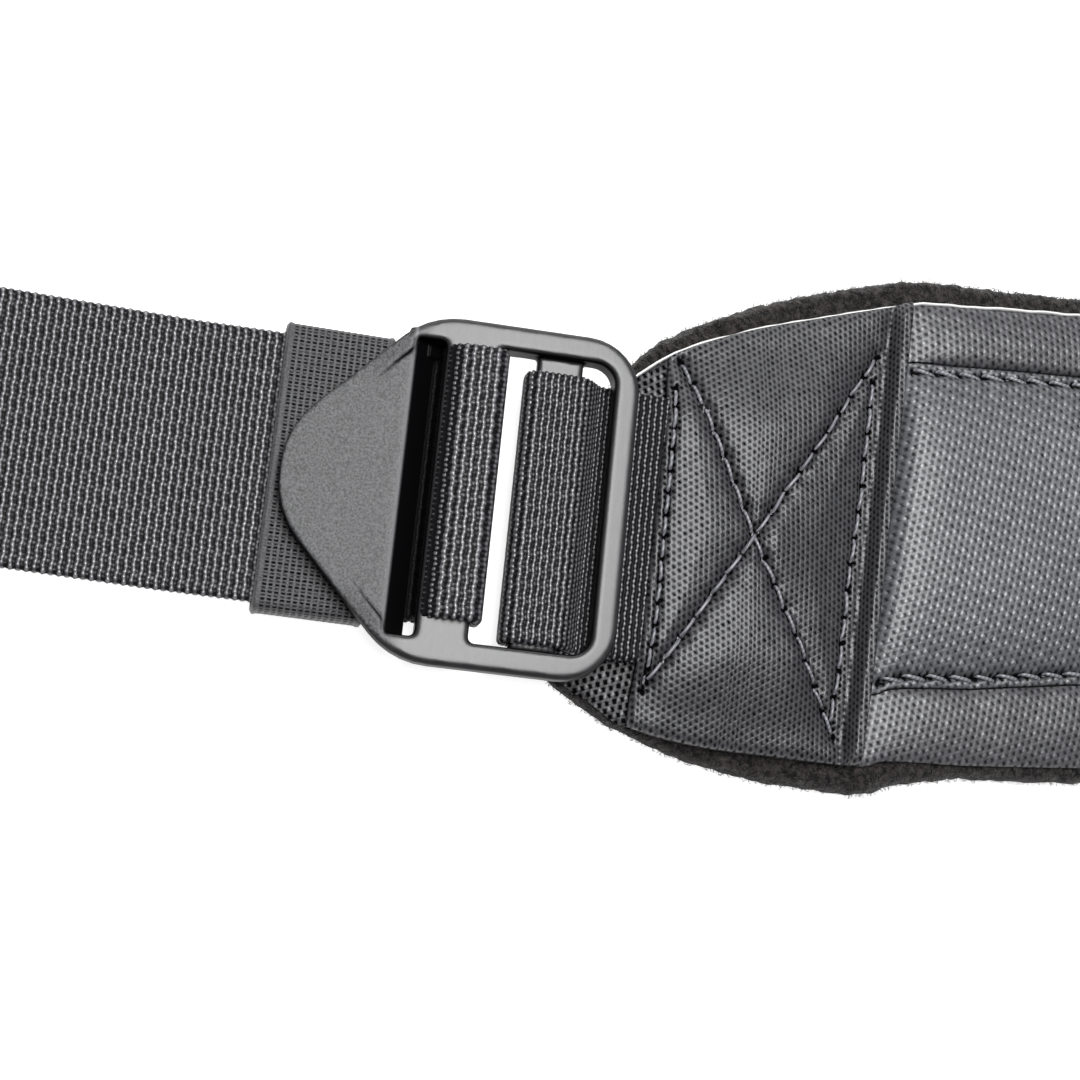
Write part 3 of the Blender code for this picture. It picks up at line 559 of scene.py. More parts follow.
def make_lining():
    outline = lining_outline(0.8 * mm)
    out = outline_steps(outline)
    # Columns: how far in from the edge, height, both in mm; how much the nubs stand out there
    profile = np.array(((30, 0, 0), (9, 0, 0), (2.5, 0, 0), (0.9, 0.1, 0.3), (0.2, 0.8, 1), (0, 1.6, 1), (0, 2.4, 1),
                        (0.3, 3.2, 1), (0.9, 3.8, 1), (1.6, 4.05, 1), (2.3, 4.1, 1), (3.0, 4.1, 1), (3.8, 4.05, 1),
                        (4.6, 4.0, 1), (5.6, 3.9, 0.5), (7, 3.8, 0), (9, 3.7, 0), (30, 3.7, 0)))
    rings = []
    for inset, height, rough in profile:
        line = outline - out * min(inset, 12.0) * mm
        if inset > 12:
            line = outline.mean(axis=0) + (line - outline.mean(axis=0)) * 0.35
        rings.append(np.c_[line, np.full(len(line), height * mm)])
    rings = np.array(rings)
    lumps = 0.42 * mm * noise_field(rings, 1.3 * mm, 3.1) + 0.30 * mm * noise_field(rings, 3.4 * mm, 9.4)
    rings[..., :2] += out[None] * (lumps * profile[:, 2:])[..., None]
    rings[..., 2] = np.maximum(rings[..., 2] + lumps * profile[:, 2:] * (profile[:, 1:2] > 3), 0)
    rings += place
    rings = np.swapaxes(rings, 0, 1)
    size = rings.shape[1]
    index = np.arange(rings.shape[0] * size).reshape(-1, size)
    after = np.roll(index, -1, axis=0)
    quads = np.stack([index[:, :-1], after[:, :-1], after[:, 1:], index[:, 1:]], axis=-1).reshape(-1, 4)
    made = solid("pad_lining_fleece", rings.reshape(-1, 3), quads, rings.reshape(-1, 3)[:, :2])
    mesh = bmesh.new()
    mesh.from_mesh(made.data)
    bmesh.ops.holes_fill(mesh, edges=[edge for edge in mesh.edges if edge.is_boundary])
    bmesh.ops.triangulate(mesh, faces=[face for face in mesh.faces if len(face.verts) > 4])
    bmesh.ops.recalc_face_normals(mesh, faces=mesh.faces)
    mesh.to_mesh(made.data)
    mesh.free()
    return made


def fibre_tree(material):
    """Geometry nodes that strew short bent fibres over a surface that is turned outward."""
    tree = bpy.data.node_groups.new("fleece_fibres", "GeometryNodeTree")
    tree.interface.new_socket("Geometry", in_out="INPUT", socket_type="NodeSocketGeometry")
    for name in ("Density", "Length", "Thickness"):
        tree.interface.new_socket(name, in_out="INPUT", socket_type="NodeSocketFloat")
    tree.interface.new_socket("Geometry", in_out="OUTPUT", socket_type="NodeSocketGeometry")
    rim = add_node(tree, "NodeGroupInput").node
    spots = add_node(tree, "GeometryNodeDistributePointsOnFaces", {"Mesh": rim.outputs[0], "Density": rim.outputs[1],
                                                                   "Seed": 4}).node
    # One fibre: a bent line of three legs under a three-sided profile
    fibre = add_node(tree, "GeometryNodeCurveQuadraticBezier", {
        "Resolution": 3, "Start": (0, 0, 0),
        "Middle": add_node(tree, "ShaderNodeCombineXYZ", {2: rim.outputs[2]}),
        "End": add_node(tree, "ShaderNodeCombineXYZ", {0: rim.outputs[2], 2: rim.outputs[2]})})
    ring = add_node(tree, "GeometryNodeCurvePrimitiveCircle", {"Resolution": 3, "Radius": rim.outputs[3]})
    fibre = add_node(tree, "GeometryNodeCurveToMesh", {"Curve": fibre, "Profile Curve": ring, "Fill Caps": True})
    spin = add_node(tree, "FunctionNodeRandomValue", {"Min": (-0.7, -0.7, 0.0), "Max": (0.7, 0.7, 6.28), "Seed": 8},
                    data_type="FLOAT_VECTOR")
    aim = add_node(tree, "FunctionNodeRotateRotation", {"Rotation": spots.outputs["Rotation"], "Rotate By": spin},
                   rotation_space="LOCAL")
    grow = add_node(tree, "FunctionNodeRandomValue", {2: 0.5, 3: 1.3, "Seed": 9}, data_type="FLOAT").node.outputs[1]
    hair = add_node(tree, "GeometryNodeInstanceOnPoints", {"Points": spots.outputs["Points"], "Instance": fibre,
                                                           "Rotation": aim, "Scale": grow})
    hair = add_node(tree, "GeometryNodeRealizeInstances", {0: hair})
    hair = add_node(tree, "GeometryNodeSetMaterial", {"Geometry": hair, "Material": material})
    tree.nodes.new("NodeGroupOutput")
    tree.links.new(hair, tree.nodes[-1].inputs[0])
    return tree


def grow_fibres(source, material, density, length, thickness):
    """Fibres all over the outer and upper faces of a piece's rim."""
    mesh = bmesh.new()
    mesh.from_mesh(source.data)
    hidden = [face for face in mesh.faces if len(face.verts) != 4 or face.normal.z < -0.2
              or face.calc_center_median().z < 0.3 * mm or face.calc_area() > 1.5 * mm ** 2]
    bmesh.ops.delete(mesh, geom=hidden, context="FACES")
    rim = bpy.data.meshes.new("fleece_fibres")
    mesh.to_mesh(rim)
    mesh.free()
    made = bpy.data.objects.new("fleece_fibres", rim)
    bpy.context.collection.objects.link(made)
    nodes = made.modifiers.new("fibres", "NODES")
    nodes.node_group = fibre_tree(material)
    keys = [item.identifier for item in nodes.node_group.interface.items_tree if item.in_out == "INPUT"][1:]
    for key, value in zip(keys, (density, length, thickness)):
        nodes[key] = value
    made = plain_copy(made)
    made.data.materials.clear()
    made.data.materials.append(material)
    return made


fleece = polar_fleece()
lining = make_lining()
lining.data.materials.append(fleece)
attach(lining, "root")
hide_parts("pad_lining")
fibres = grow_fibres(lining, fleece, 2.1e6, 0.55 * mm, 0.045 * mm)
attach(fibres, "root")

# Pad cover. Real piece: charcoal ballistic nylon, cut to a tongue that runs under the buckle and to the border
# strips of the pad, and sewn down along its edge. Under the borders a thin roll of foam puffs it up.
cover_top = 5.4 * mm
cover_under = 4.2 * mm
border_puff = 1.4 * mm
# Pitch of the holes between the yarns, two columns across and along: on flat cloth, and stretched over padding
flat_across, flat_along = 2.10 * mm, 1.27 * mm
taut_across, taut_along = 2.54 * mm, 1.47 * mm


def sheet(name, upper, lower, cloth, painted_cloth_shade, keep=None):
    """A closed solid between two grids of points, with the cells that keep marks. needle, from 0 to 1, is how much
    painted shade darkens each point of the upper grid: in stitch holes, along seams and on the tongue."""
    rows, columns = upper.shape[:2]
    keep = np.ones((rows - 1, columns - 1), bool) if keep is None else keep
    index = np.arange(rows * columns).reshape(rows, columns)
    corners = (index[:-1, :-1], index[1:, :-1], index[1:, 1:], index[:-1, 1:])
    top = np.stack([corner[keep] for corner in corners], axis=-1)
    below = rows * columns
    quads = [top, top[:, ::-1] + below]
    padded = np.pad(keep, 1)
    beside = (padded[1:-1, :-2], padded[2:, 1:-1], padded[1:-1, 2:], padded[:-2, 1:-1])
    for side, neighbour in enumerate(beside):
        edge = keep & ~neighbour
        a, b = corners[side][edge], corners[(side + 1) % 4][edge]
        quads.append(np.stack([b, a, a + below, b + below], axis=-1))
    quads = np.concatenate(quads)
    points = np.concatenate([upper.reshape(-1, 3), lower.reshape(-1, 3)]) + place
    cloth = np.concatenate([cloth.reshape(-1, 2)] * 2)
    used, quads = np.unique(quads, return_inverse=True)
    made = solid(name, points[used], quads.reshape(-1, 4), cloth[used])
    made.data.set_sharp_from_angle(angle=math.radians(60))
    shares = np.r_[painted_cloth_shade.ravel(), np.zeros(below)][used].astype(np.float32)
    made.data.attributes.new("painted_cloth_shade", "FLOAT", "POINT").data.foreach_set("value", shares)
    return made


def ballistic_nylon(name, light, dark, hole_across, hole_along, depth, knot_glint):
    """Ballistic nylon in basket weave: coarse filament yarn in ribs about 1 mm apart, with a small dark hole at
    each crossing between them, in bricks. depth is how dark the holes are, knots how strong a painted glint
    each second bead of yarn gets. Holes keep no gloss."""
    material = bpy.data.materials.new(name)
    material.use_nodes = True
    tree = material.node_tree
    shader = tree.nodes["Principled BSDF"]
    cloth = add_node(tree, "ShaderNodeUVMap", uv_map="cloth")
    split = add_node(tree, "ShaderNodeSeparateXYZ", {0: cloth}).node

    def calculate(operation, *values):
        return add_node(tree, "ShaderNodeMath", dict(enumerate(values)), operation=operation)

    def distance_from(x, y, across, along):
        """Distance in mm from the middle of a cell whose sides are given in mm."""
        away = add_node(tree, "ShaderNodeCombineXYZ", {
            0: calculate("MULTIPLY", calculate("SUBTRACT", calculate("FRACT", x), 0.5), across),
            1: calculate("MULTIPLY", calculate("SUBTRACT", calculate("FRACT", y), 0.5), along)})
        return add_node(tree, "ShaderNodeVectorMath", {0: away}, operation="LENGTH").node.outputs["Value"]

    # The ribs sway a twentieth of a millimetre to and fro between the holes
    sway = calculate("SINE", calculate("MULTIPLY", split.outputs[1], 4 * math.pi / hole_along))
    u = calculate("MULTIPLY_ADD", sway, 0.05, calculate("MULTIPLY", split.outputs[0], 2 / hole_across))
    v = calculate("MULTIPLY_ADD", calculate("FLOOR", u), 0.5, calculate("DIVIDE", split.outputs[1], hole_along))
    away = distance_from(u, v, hole_across / 2 / mm, 0.9 * hole_along / mm)
    hole = add_node(tree, "ShaderNodeMapRange", {"Value": away, 1: 0.08, 2: 0.62, 3: 1.0, 4: 0.0},
                    interpolation_type="SMOOTHSTEP")
    rib = calculate("ABSOLUTE", calculate("SUBTRACT", calculate("FRACT", u), 0.5))
    rib = add_node(tree, "ShaderNodeMapRange", {"Value": rib, 1: 0.14, 2: 0.46, 3: 0.0, 4: 1.0},
                   interpolation_type="SMOOTHSTEP")
    # By every second hole a bead of yarn stands up, above it and to its left, painted lighter and glossier: a painted
    # glint
    beside = calculate("ADD", u, 0.40)
    above = calculate("MULTIPLY_ADD", calculate("PINGPONG", calculate("FLOOR", beside), 1.0), 0.25,
                      calculate("MULTIPLY_ADD", split.outputs[1], 0.5 / hole_along, -0.16))
    knot = distance_from(beside, above, hole_across / 2 / mm, 2 * hole_along / mm)
    column = calculate("MULTIPLY_ADD", calculate("PINGPONG", calculate("FLOOR", beside), 1.0), -0.4 * knot_glint, knot_glint)
    knot = add_node(tree, "ShaderNodeMapRange", {"Value": knot, 1: 0.10, 2: 0.62, 3: column, 4: 0.0},
                    interpolation_type="SMOOTHSTEP")
    # Filaments of the yarn, 0.25 mm across, and yarns that vary from one to the next
    threads = add_node(tree, "ShaderNodeMapping", {0: cloth, "Scale": (3800, 2100, 1)})
    threads = add_node(tree, "ShaderNodeTexNoise", {"Vector": threads, "Scale": 1.0, "Detail": 3.0, "Roughness": 0.6})
    uneven = add_node(tree, "ShaderNodeTexNoise", {"Vector": cloth, "Scale": 520.0, "Detail": 3.0, "Roughness": 0.7})
    level = calculate("MULTIPLY_ADD", rib, 0.08, knot)
    level = calculate("MULTIPLY_ADD", threads, 0.40, level)
    level = calculate("MULTIPLY_ADD", uneven, 0.55, level)
    height = calculate("MULTIPLY_ADD", hole, -depth, level)
    # Painted shade: darker and with less gloss in stitch holes, along seams and on the tongue
    painted_cloth_shade = add_node(tree, "ShaderNodeAttribute", attribute_name="painted_cloth_shade").node.outputs["Fac"]
    height = calculate("MULTIPLY_ADD", painted_cloth_shade, -1.0, height)
    shade = add_node(tree, "ShaderNodeMapRange", {"Value": height, 1: 0.0, 2: 0.90, 3: 0.0, 4: 1.0})
    colour = add_node(tree, "ShaderNodeMix", {0: shade, 6: linear(dark), 7: linear(light)}, data_type="RGBA")
    tree.links.new(colour.node.outputs[2], shader.inputs["Base Color"])
    tree.links.new(shade, shader.inputs["Specular IOR Level"])
    bump = add_node(tree, "ShaderNodeBump", {"Height": height, "Strength": 0.8, "Distance": 0.18 * mm})
    tree.links.new(bump, shader.inputs["Normal"])
    shader.inputs["Roughness"].default_value = 0.42
    shader.inputs["IOR"].default_value = 1.62
    return material


def turned(points, degrees, lean=0.0):
    """Cloth coordinates for cloth whose yarns are turned from the pad's axes, or lean across them."""
    x, y, angle = points[..., 0], points[..., 1], math.radians(degrees)
    x, y = x * math.cos(angle) - y * math.sin(angle), x * math.sin(angle) + y * math.cos(angle)
    return np.stack([x + lean * y, y], axis=-1)


def across_line(row, share):
    """Points across the pad at one row, at shares of its width."""
    return row[None, :2] + (row[2:4] - row[:2])[None] * share[:, None]


def seam_shares(row):
    width = np.linalg.norm(row[2:4] - row[:2])
    return min(row[6] / width, 0.3), 1 - min(row[7] / width, 0.3)


def make_cover():
    numbers, rows = pad_lines(0.9 * mm)
    strip, middle = np.linspace(0, 1, 19), np.linspace(0, 1, 40)[1:-1]
    upper, lower, cloth = [], [], []
    for row in rows:
        low, high = seam_shares(row)
        share = np.r_[strip * low, low + middle * (high - low), 1 - strip[::-1] * (1 - high)]
        points = across_line(row, share)
        inward = np.r_[strip, np.ones(len(middle)), strip[::-1]]
        full = np.sin(0.83 * math.pi * inward) ** 0.85
        # The strip's inner edge is turned under where it meets the centre panel
        tuck = np.exp(-((1 - inward) * 13 / 0.7) ** 2) * min(row[8], 1)
        lift = border_puff * full * row[8] - 0.5 * mm * tuck
        hem = 0.35 * mm * np.exp(-inward * 13 / 0.5)
        # The tongue falls away to its edges and its tip
        near = np.minimum(points[:, 1] - row[1], row[3] - points[:, 1]) / (11 * mm)
        fall = np.maximum(1 - np.clip(near, 0, 1), np.clip((34 * mm - points[:, 0]) / (16 * mm), 0, 1))
        lift -= 0.85 * mm * fall * np.clip((44 * mm - points[:, 0]) / (6 * mm), 0, 1)
        upper.append(np.c_[points, cover_top + lift - hem])
        lower.append(np.c_[points, np.full(len(points), cover_under)])
    upper, lower = np.array(upper), np.array(lower)
    ripple = noise_field(upper, 9 * mm, 5.5) * 0.28 * mm + noise_field(upper, 3.6 * mm, 1.5) * 0.08 * mm
    fade = np.clip((numbers - ridge_row) / 1.5, 0, 1)[:, None] * np.minimum(rows[:, 8:9] / 0.8, 1)
    upper[..., 2] += ripple * fade
    keep = np.ones((len(rows) - 1, upper.shape[1] - 1), bool)
    inside = (numbers[:-1] >= ridge_row) & (numbers[:-1] < far_row)
    keep[np.ix_(inside, range(len(strip) - 1, upper.shape[1] - len(strip)))] = False
    cloth = np.where(upper[..., 1:2] > 0, turned(upper, 0, 0.12), turned(upper, 8.5))
    # Painted shade on the tongue between the strap and the lap: darker and with less gloss there
    painted_tongue_shade = 0.30 * np.clip((41 * mm - upper[..., 0]) / (3 * mm), 0, 1)
    return sheet("pad_cover_nylon", upper, lower, cloth, painted_tongue_shade, keep)


# Painted light: the cover, panel and lap are one nylon in three copies; this one sits between the panel's lighter copy
# and the lap's darker one
cover_cloth = ballistic_nylon("ballistic_nylon_cover", "#616165", "#09090a", taut_across, taut_along, 0.38, 0.36)
cover = make_cover()
cover.data.materials.append(cover_cloth)
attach(cover, "root")
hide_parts("pad_cover")

# Centre panel. Real piece: a panel of the same nylon with its warp across the pad, over a slab of foam. It is
# topstitched close to its long seams, which draws it down there and lets the foam crown it between them.
panel_height = 4.8 * mm
stitch_inset = 2.25 * mm
panel_pitch = 4.9 * mm


def line_distance(points, line):
    """(distance from the line, distance along it) for each point in plan."""
    best, where, done = np.full(points.shape[:-1], 1.0), np.zeros(points.shape[:-1]), 0.0
    line = np.array(line)
    for a, b in zip(line, line[1:]):
        leg = b - a
        length = np.linalg.norm(leg)
        share = np.clip(((points - a) @ leg) / length ** 2, 0, 1)
        far = np.linalg.norm(points - a - share[..., None] * leg, axis=-1)
        where = np.where(far < best, done + share * length, where)
        best = np.minimum(best, far)
        done += length
    return best, where


def stitch_count(line, pitch):
    """(length of a line, how many stitches fill it)."""
    length = np.linalg.norm(np.diff(np.array(line), axis=0), axis=1).sum()
    return length, max(1, round(length / pitch))


def sewn(plan, line, pitch, spread):
    """(how far a seam draws the cloth in, how much painted shade darkens it, in the stitch holes and along the line),
    both 0 to 1, at points in plan.
    """
    far, where = line_distance(plan, line)
    length, count = stitch_count(line, pitch)
    phase = where * count / length
    from_hole = np.abs(phase - np.round(phase)) * length / count
    pull = 0.62 * np.exp(-(far / spread) ** 2) + 0.38 * np.exp(-(far / (0.4 * spread)) ** 2)
    pull *= 1 + 0.3 * np.cos(2 * math.pi * phase)
    hole = np.exp(-(far / (0.55 * mm)) ** 2 - (from_hole / (0.60 * mm)) ** 2)
    return pull, np.maximum(hole, 0.4 * np.exp(-(far / (0.6 * mm)) ** 2))


def panel_seams():
    """The two lines of topstitching of the centre panel, in plan."""
    numbers, rows = pad_lines(2 * mm)
    low_line, high_line = [], []
    for row in rows[(numbers >= ridge_row + 0.15) & (numbers < far_row - 0.05)]:
        low, high = seam_shares(row)
        inset = stitch_inset / np.linalg.norm(row[2:4] - row[:2])
        low_line.append(across_line(row, np.array((low + inset,)))[0])
        high_line.append(across_line(row, np.array((high - inset,)))[0])
    return np.array(low_line), np.array(high_line)


def make_centre_panel():
    numbers, rows = pad_lines(0.5 * mm)
    rows = rows[(numbers >= ridge_row) & (numbers <= far_row)]
    share = np.linspace(0, 1, 142)
    share = share - 0.10 * np.sin(2 * math.pi * share)
    upper, lower = [], []
    for row in rows:
        low, high = seam_shares(row)
        gap = 0.35 * mm / np.linalg.norm(row[2:4] - row[:2])
        points = across_line(row, low + gap + share * (high - low - 2 * gap))
        lower.append(np.c_[points, np.full(len(points), cover_under)])
        upper.append(np.c_[points, np.zeros(len(points))])
    upper, lower = np.array(upper), np.array(lower)
    along = upper[..., 0] - upper[:1, :, 0]
    left = np.maximum(upper[-1:, :, 0] - upper[..., 0], 0)
    width = np.linalg.norm(upper[:, -1] - upper[:, 0], axis=1)[:, None]
    inward = np.minimum(share, 1 - share)[None] * width
    dome = panel_height * (1 - np.abs(2 * share - 1) ** 3.2)[None] ** 0.8
    ends = (1 - np.exp(-(along + 0.3 * mm) / (2.2 * mm))) * (1 - np.exp(-(left + 0.3 * mm) / (4.5 * mm)))
    # Painted shade in the stitch holes and in a line along each seam
    pull, painted_cloth_shade = np.zeros(along.shape), np.zeros(along.shape)
    for line in panel_seams():
        drawn, hole = sewn(upper[..., :2], line, panel_pitch, 1.1 * mm)
        pull, painted_cloth_shade = np.maximum(pull, drawn), np.maximum(painted_cloth_shade, hole)
    # Small tucks run in from each stitch, and the foam is a little uneven
    tuck = 0.16 * mm * np.cos(2 * math.pi * along / panel_pitch) * np.exp(-((inward - 4.2 * mm) / (2.4 * mm)) ** 2)
    sag = noise_field(upper, 26 * mm, 2.2) * 0.35 * mm + noise_field(upper, 7 * mm, 8.1) * 0.12 * mm
    soft = np.clip((inward - 1.5 * mm) / (6 * mm), 0, 1)
    upper[..., 2] = cover_top + dome * ends - 1.5 * mm * pull + (sag + tuck) * soft
    upper[..., 2] = np.maximum(upper[..., 2], cover_under + 0.6 * mm)
    return sheet("centre_panel_nylon", upper, lower, turned(upper, 8.5), painted_cloth_shade)


# Painted light: this copy of the nylon is lighter, with a stronger painted glint
panel_cloth = ballistic_nylon("ballistic_nylon_panel", "#717276", "#0d0e0e", taut_across, taut_along, 0.36, 0.70)
panel = make_centre_panel()
panel.data.materials.append(panel_cloth)
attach(panel, "root")
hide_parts("centre_panel")

# End panel. Real piece: a lap of the nylon folded double over the ends of the anchor webbing. A box of
# stitching with a cross in it sews it through everything, and behind it the cloth is pinched into a standing
# fold.
seat_top, raised_top = 6.9 * mm, 11.1 * mm
lap_wall = 1.2 * mm
strand_low, strand_high = -27.9 * mm, 24.1 * mm
ridge_width, ridge_lift = 3.3 * mm, 2.8 * mm
# Rows: x and y of the points that each line of stitches runs through, its pitch, how deep it draws the cloth in
# and over how wide a band, all in mm
lap_seams = [(np.array(line) * mm, pitch * mm, depth * mm, spread * mm) for line, pitch, depth, spread in (
    (((40.4, 31.4), (48.4, 15.2), (56.4, -1.0), (66.2, -18.4), (76.1, -35.8)), 5.0, 1.5, 1.5),
    (((38.8, -30.1), (47.6, -15.6), (56.4, -1.0), (68.0, 18.8), (79.6, 38.5)), 5.0, 1.5, 1.5),
    (((39.3, 25.4), (39.1, 3.0), (39.0, -16.5), (38.2, -31.9)), 4.1, 0.75, 0.9),
    (((78.9, 33.3), (78.0, 9.3), (76.8, -5.1), (76.2, -22.5), (75.1, -33.4)), 5.2, 1.0, 1.2))]


def make_end_panel():
    numbers, rows = pad_lines(0.3 * mm)
    chosen = (numbers >= fold_row) & (numbers <= ridge_row)
    rows, numbers = rows[chosen], numbers[chosen]
    before = rows[-1, 0] - rows[:, 0]
    wanted = np.r_[np.arange(before[0], 4 * mm, -0.40 * mm), np.arange(4 * mm, 0, -0.22 * mm), 0.0]
    rows = np.stack([np.interp(-wanted, -before, column) for column in rows.T], axis=1)
    share = np.linspace(0, 1, 204)
    plan = np.array([across_line(row, share) for row in rows])
    x, y = plan[..., 0], plan[..., 1]
    low, high = rows[:, 1:2], rows[:, 3:4]
    # How far the cloth is carried up by the webbing ends below it, across the pad
    side = np.minimum((y - low) / (strand_low + 6 * mm - low), (high - y) / (high - strand_high + 6 * mm))
    side = np.clip(side, 0, 1)
    lift = side ** 2 * (3 - 2 * side)
    to_ridge = x[-1:] - x
    slope = np.clip((to_ridge - 2.8 * mm) / (14.5 * mm), 0, 1)
    rise = slope ** 2 * (3 - 2 * slope)
    # Between the right arms of the cross nothing lies under the cloth, so it falls away from the very middle
    arms = [np.interp(y, line[::turn, 1], line[::turn, 0]) for (line, *_), turn in zip(lap_seams, (-1, 1))]
    right = np.clip((x - np.maximum(*arms)) / (1.5 * mm), 0, 1)
    rise += right * (np.minimum(rise, np.clip((to_ridge - 2.8 * mm) / (20 * mm), 0, 1) ** 1.6) - rise)
    top = seat_top + (raised_top - seat_top) * lift * rise
    nearest = np.full(x.shape, 1.0)
    # Painted shade in the stitch holes and in a line along each seam
    pull, painted_cloth_shade = np.zeros(x.shape), np.zeros(x.shape)
    for line, pitch, depth, spread in lap_seams:
        drawn, hole = sewn(plan, line, pitch, spread)
        pull, painted_cloth_shade = np.maximum(pull, depth * drawn), np.maximum(painted_cloth_shade, hole)
        nearest = np.minimum(nearest, line_distance(plan, line)[0])
    plump = 0.9 * mm * (1 - np.exp(-(nearest / (5 * mm)) ** 2)) * np.clip(to_ridge / (8 * mm), 0, 1)
    crease = noise_field(np.dstack([plan, plan[..., :1] * 0]), 8 * mm, 4.4) * 0.24 * mm
    edge = np.minimum(share, 1 - share)[None] * (high - low)
    hem = np.exp(-edge / (0.8 * mm))
    top = top + (plump + crease) * (1 - hem) - pull * (1 - 0.8 * hem) - 0.4 * mm * hem
    # Round turn of the fold over the webbing
    from_fold = x - x[:1]
    top -= 0.9 * mm * np.exp(-(from_fold / (0.55 * mm)) ** 1.5)
    # The standing fold: rounded top, steep sides, leaning a little and never quite straight
    wander = 0.22 * mm * noise_field(np.dstack([y * 0, y, y * 0]), 11 * mm, 6.6)
    d = (to_ridge + wander) / ridge_width
    fold = np.clip((1.02 - d) / 0.48, 0, 1) * np.clip((d + 0.05) / 0.2, 0, 1)
    fold = np.sin(fold * math.pi / 2)
    valley = 0.7 * mm * np.exp(-((to_ridge - 4.0 * mm) / (1.0 * mm)) ** 2)
    top += ridge_lift * fold * (1 - 0.35 * hem) - valley * (1 - hem)
    bottom = np.where(to_ridge < ridge_width * 1.1, seat_top - lap_wall, top - lap_wall)
    bottom = np.maximum(np.minimum(bottom, top - 0.3 * mm), seat_top - lap_wall)
    top = np.maximum(top, bottom + 0.3 * mm)
    middle = x.shape[1] // 2
    steps = np.linalg.norm(np.diff(np.c_[x[:, middle], top[:, middle]], axis=0), axis=1)
    cloth = np.stack([np.broadcast_to(np.r_[0, np.cumsum(steps)][:, None], x.shape) + 0.12 * y, y], axis=-1)
    return sheet("end_panel_nylon", np.dstack([x, y, top]), np.dstack([x, y, bottom]), cloth, painted_cloth_shade)


lap = make_end_panel()
# Painted shade: this copy of the nylon is darker and has no painted glint
lap.data.materials.append(ballistic_nylon("ballistic_nylon_lap", "#545458", "#070708", flat_across, flat_along, 0.42, 0.0))
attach(lap, "root")
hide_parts("end_panel")

# Stitches. Real piece: bonded nylon thread, lockstitched by machine at 4 to 5 mm. Each stitch lies on the
# cloth between the two holes that pull its ends down.
thread_thick = 0.66 * mm


def bonded_thread(name, code):
    """Bonded nylon sewing thread: smooth twisted filament with a slight gloss."""
    material = bpy.data.materials.new(name)
    material.use_nodes = True
    tree = material.node_tree
    shader = tree.nodes["Principled BSDF"]
    spot = add_node(tree, "ShaderNodeTexCoord").node.outputs["Object"]
    # Twist of the thread, three plies to the millimetre
    twist = add_node(tree, "ShaderNodeMapping", {0: spot, "Rotation": (0, 0, math.radians(35))})
    twist = add_node(tree, "ShaderNodeTexWave", {"Vector": twist, "Scale": 420.0, "Distortion": 1.5})
    colour = add_node(tree, "ShaderNodeMix", {0: twist.node.outputs["Fac"], 6: linear(code),
                                              7: linear("#62626a")}, data_type="RGBA")
    tree.links.new(colour.node.outputs[2], shader.inputs["Base Color"])
    bump = add_node(tree, "ShaderNodeBump", {"Height": twist.node.outputs["Fac"], "Strength": 0.5,
                                             "Distance": 0.05 * mm})
    tree.links.new(bump, shader.inputs["Normal"])
    shader.inputs["Roughness"].default_value = 0.4
    shader.inputs["Specular IOR Level"].default_value = 0.8
    return material


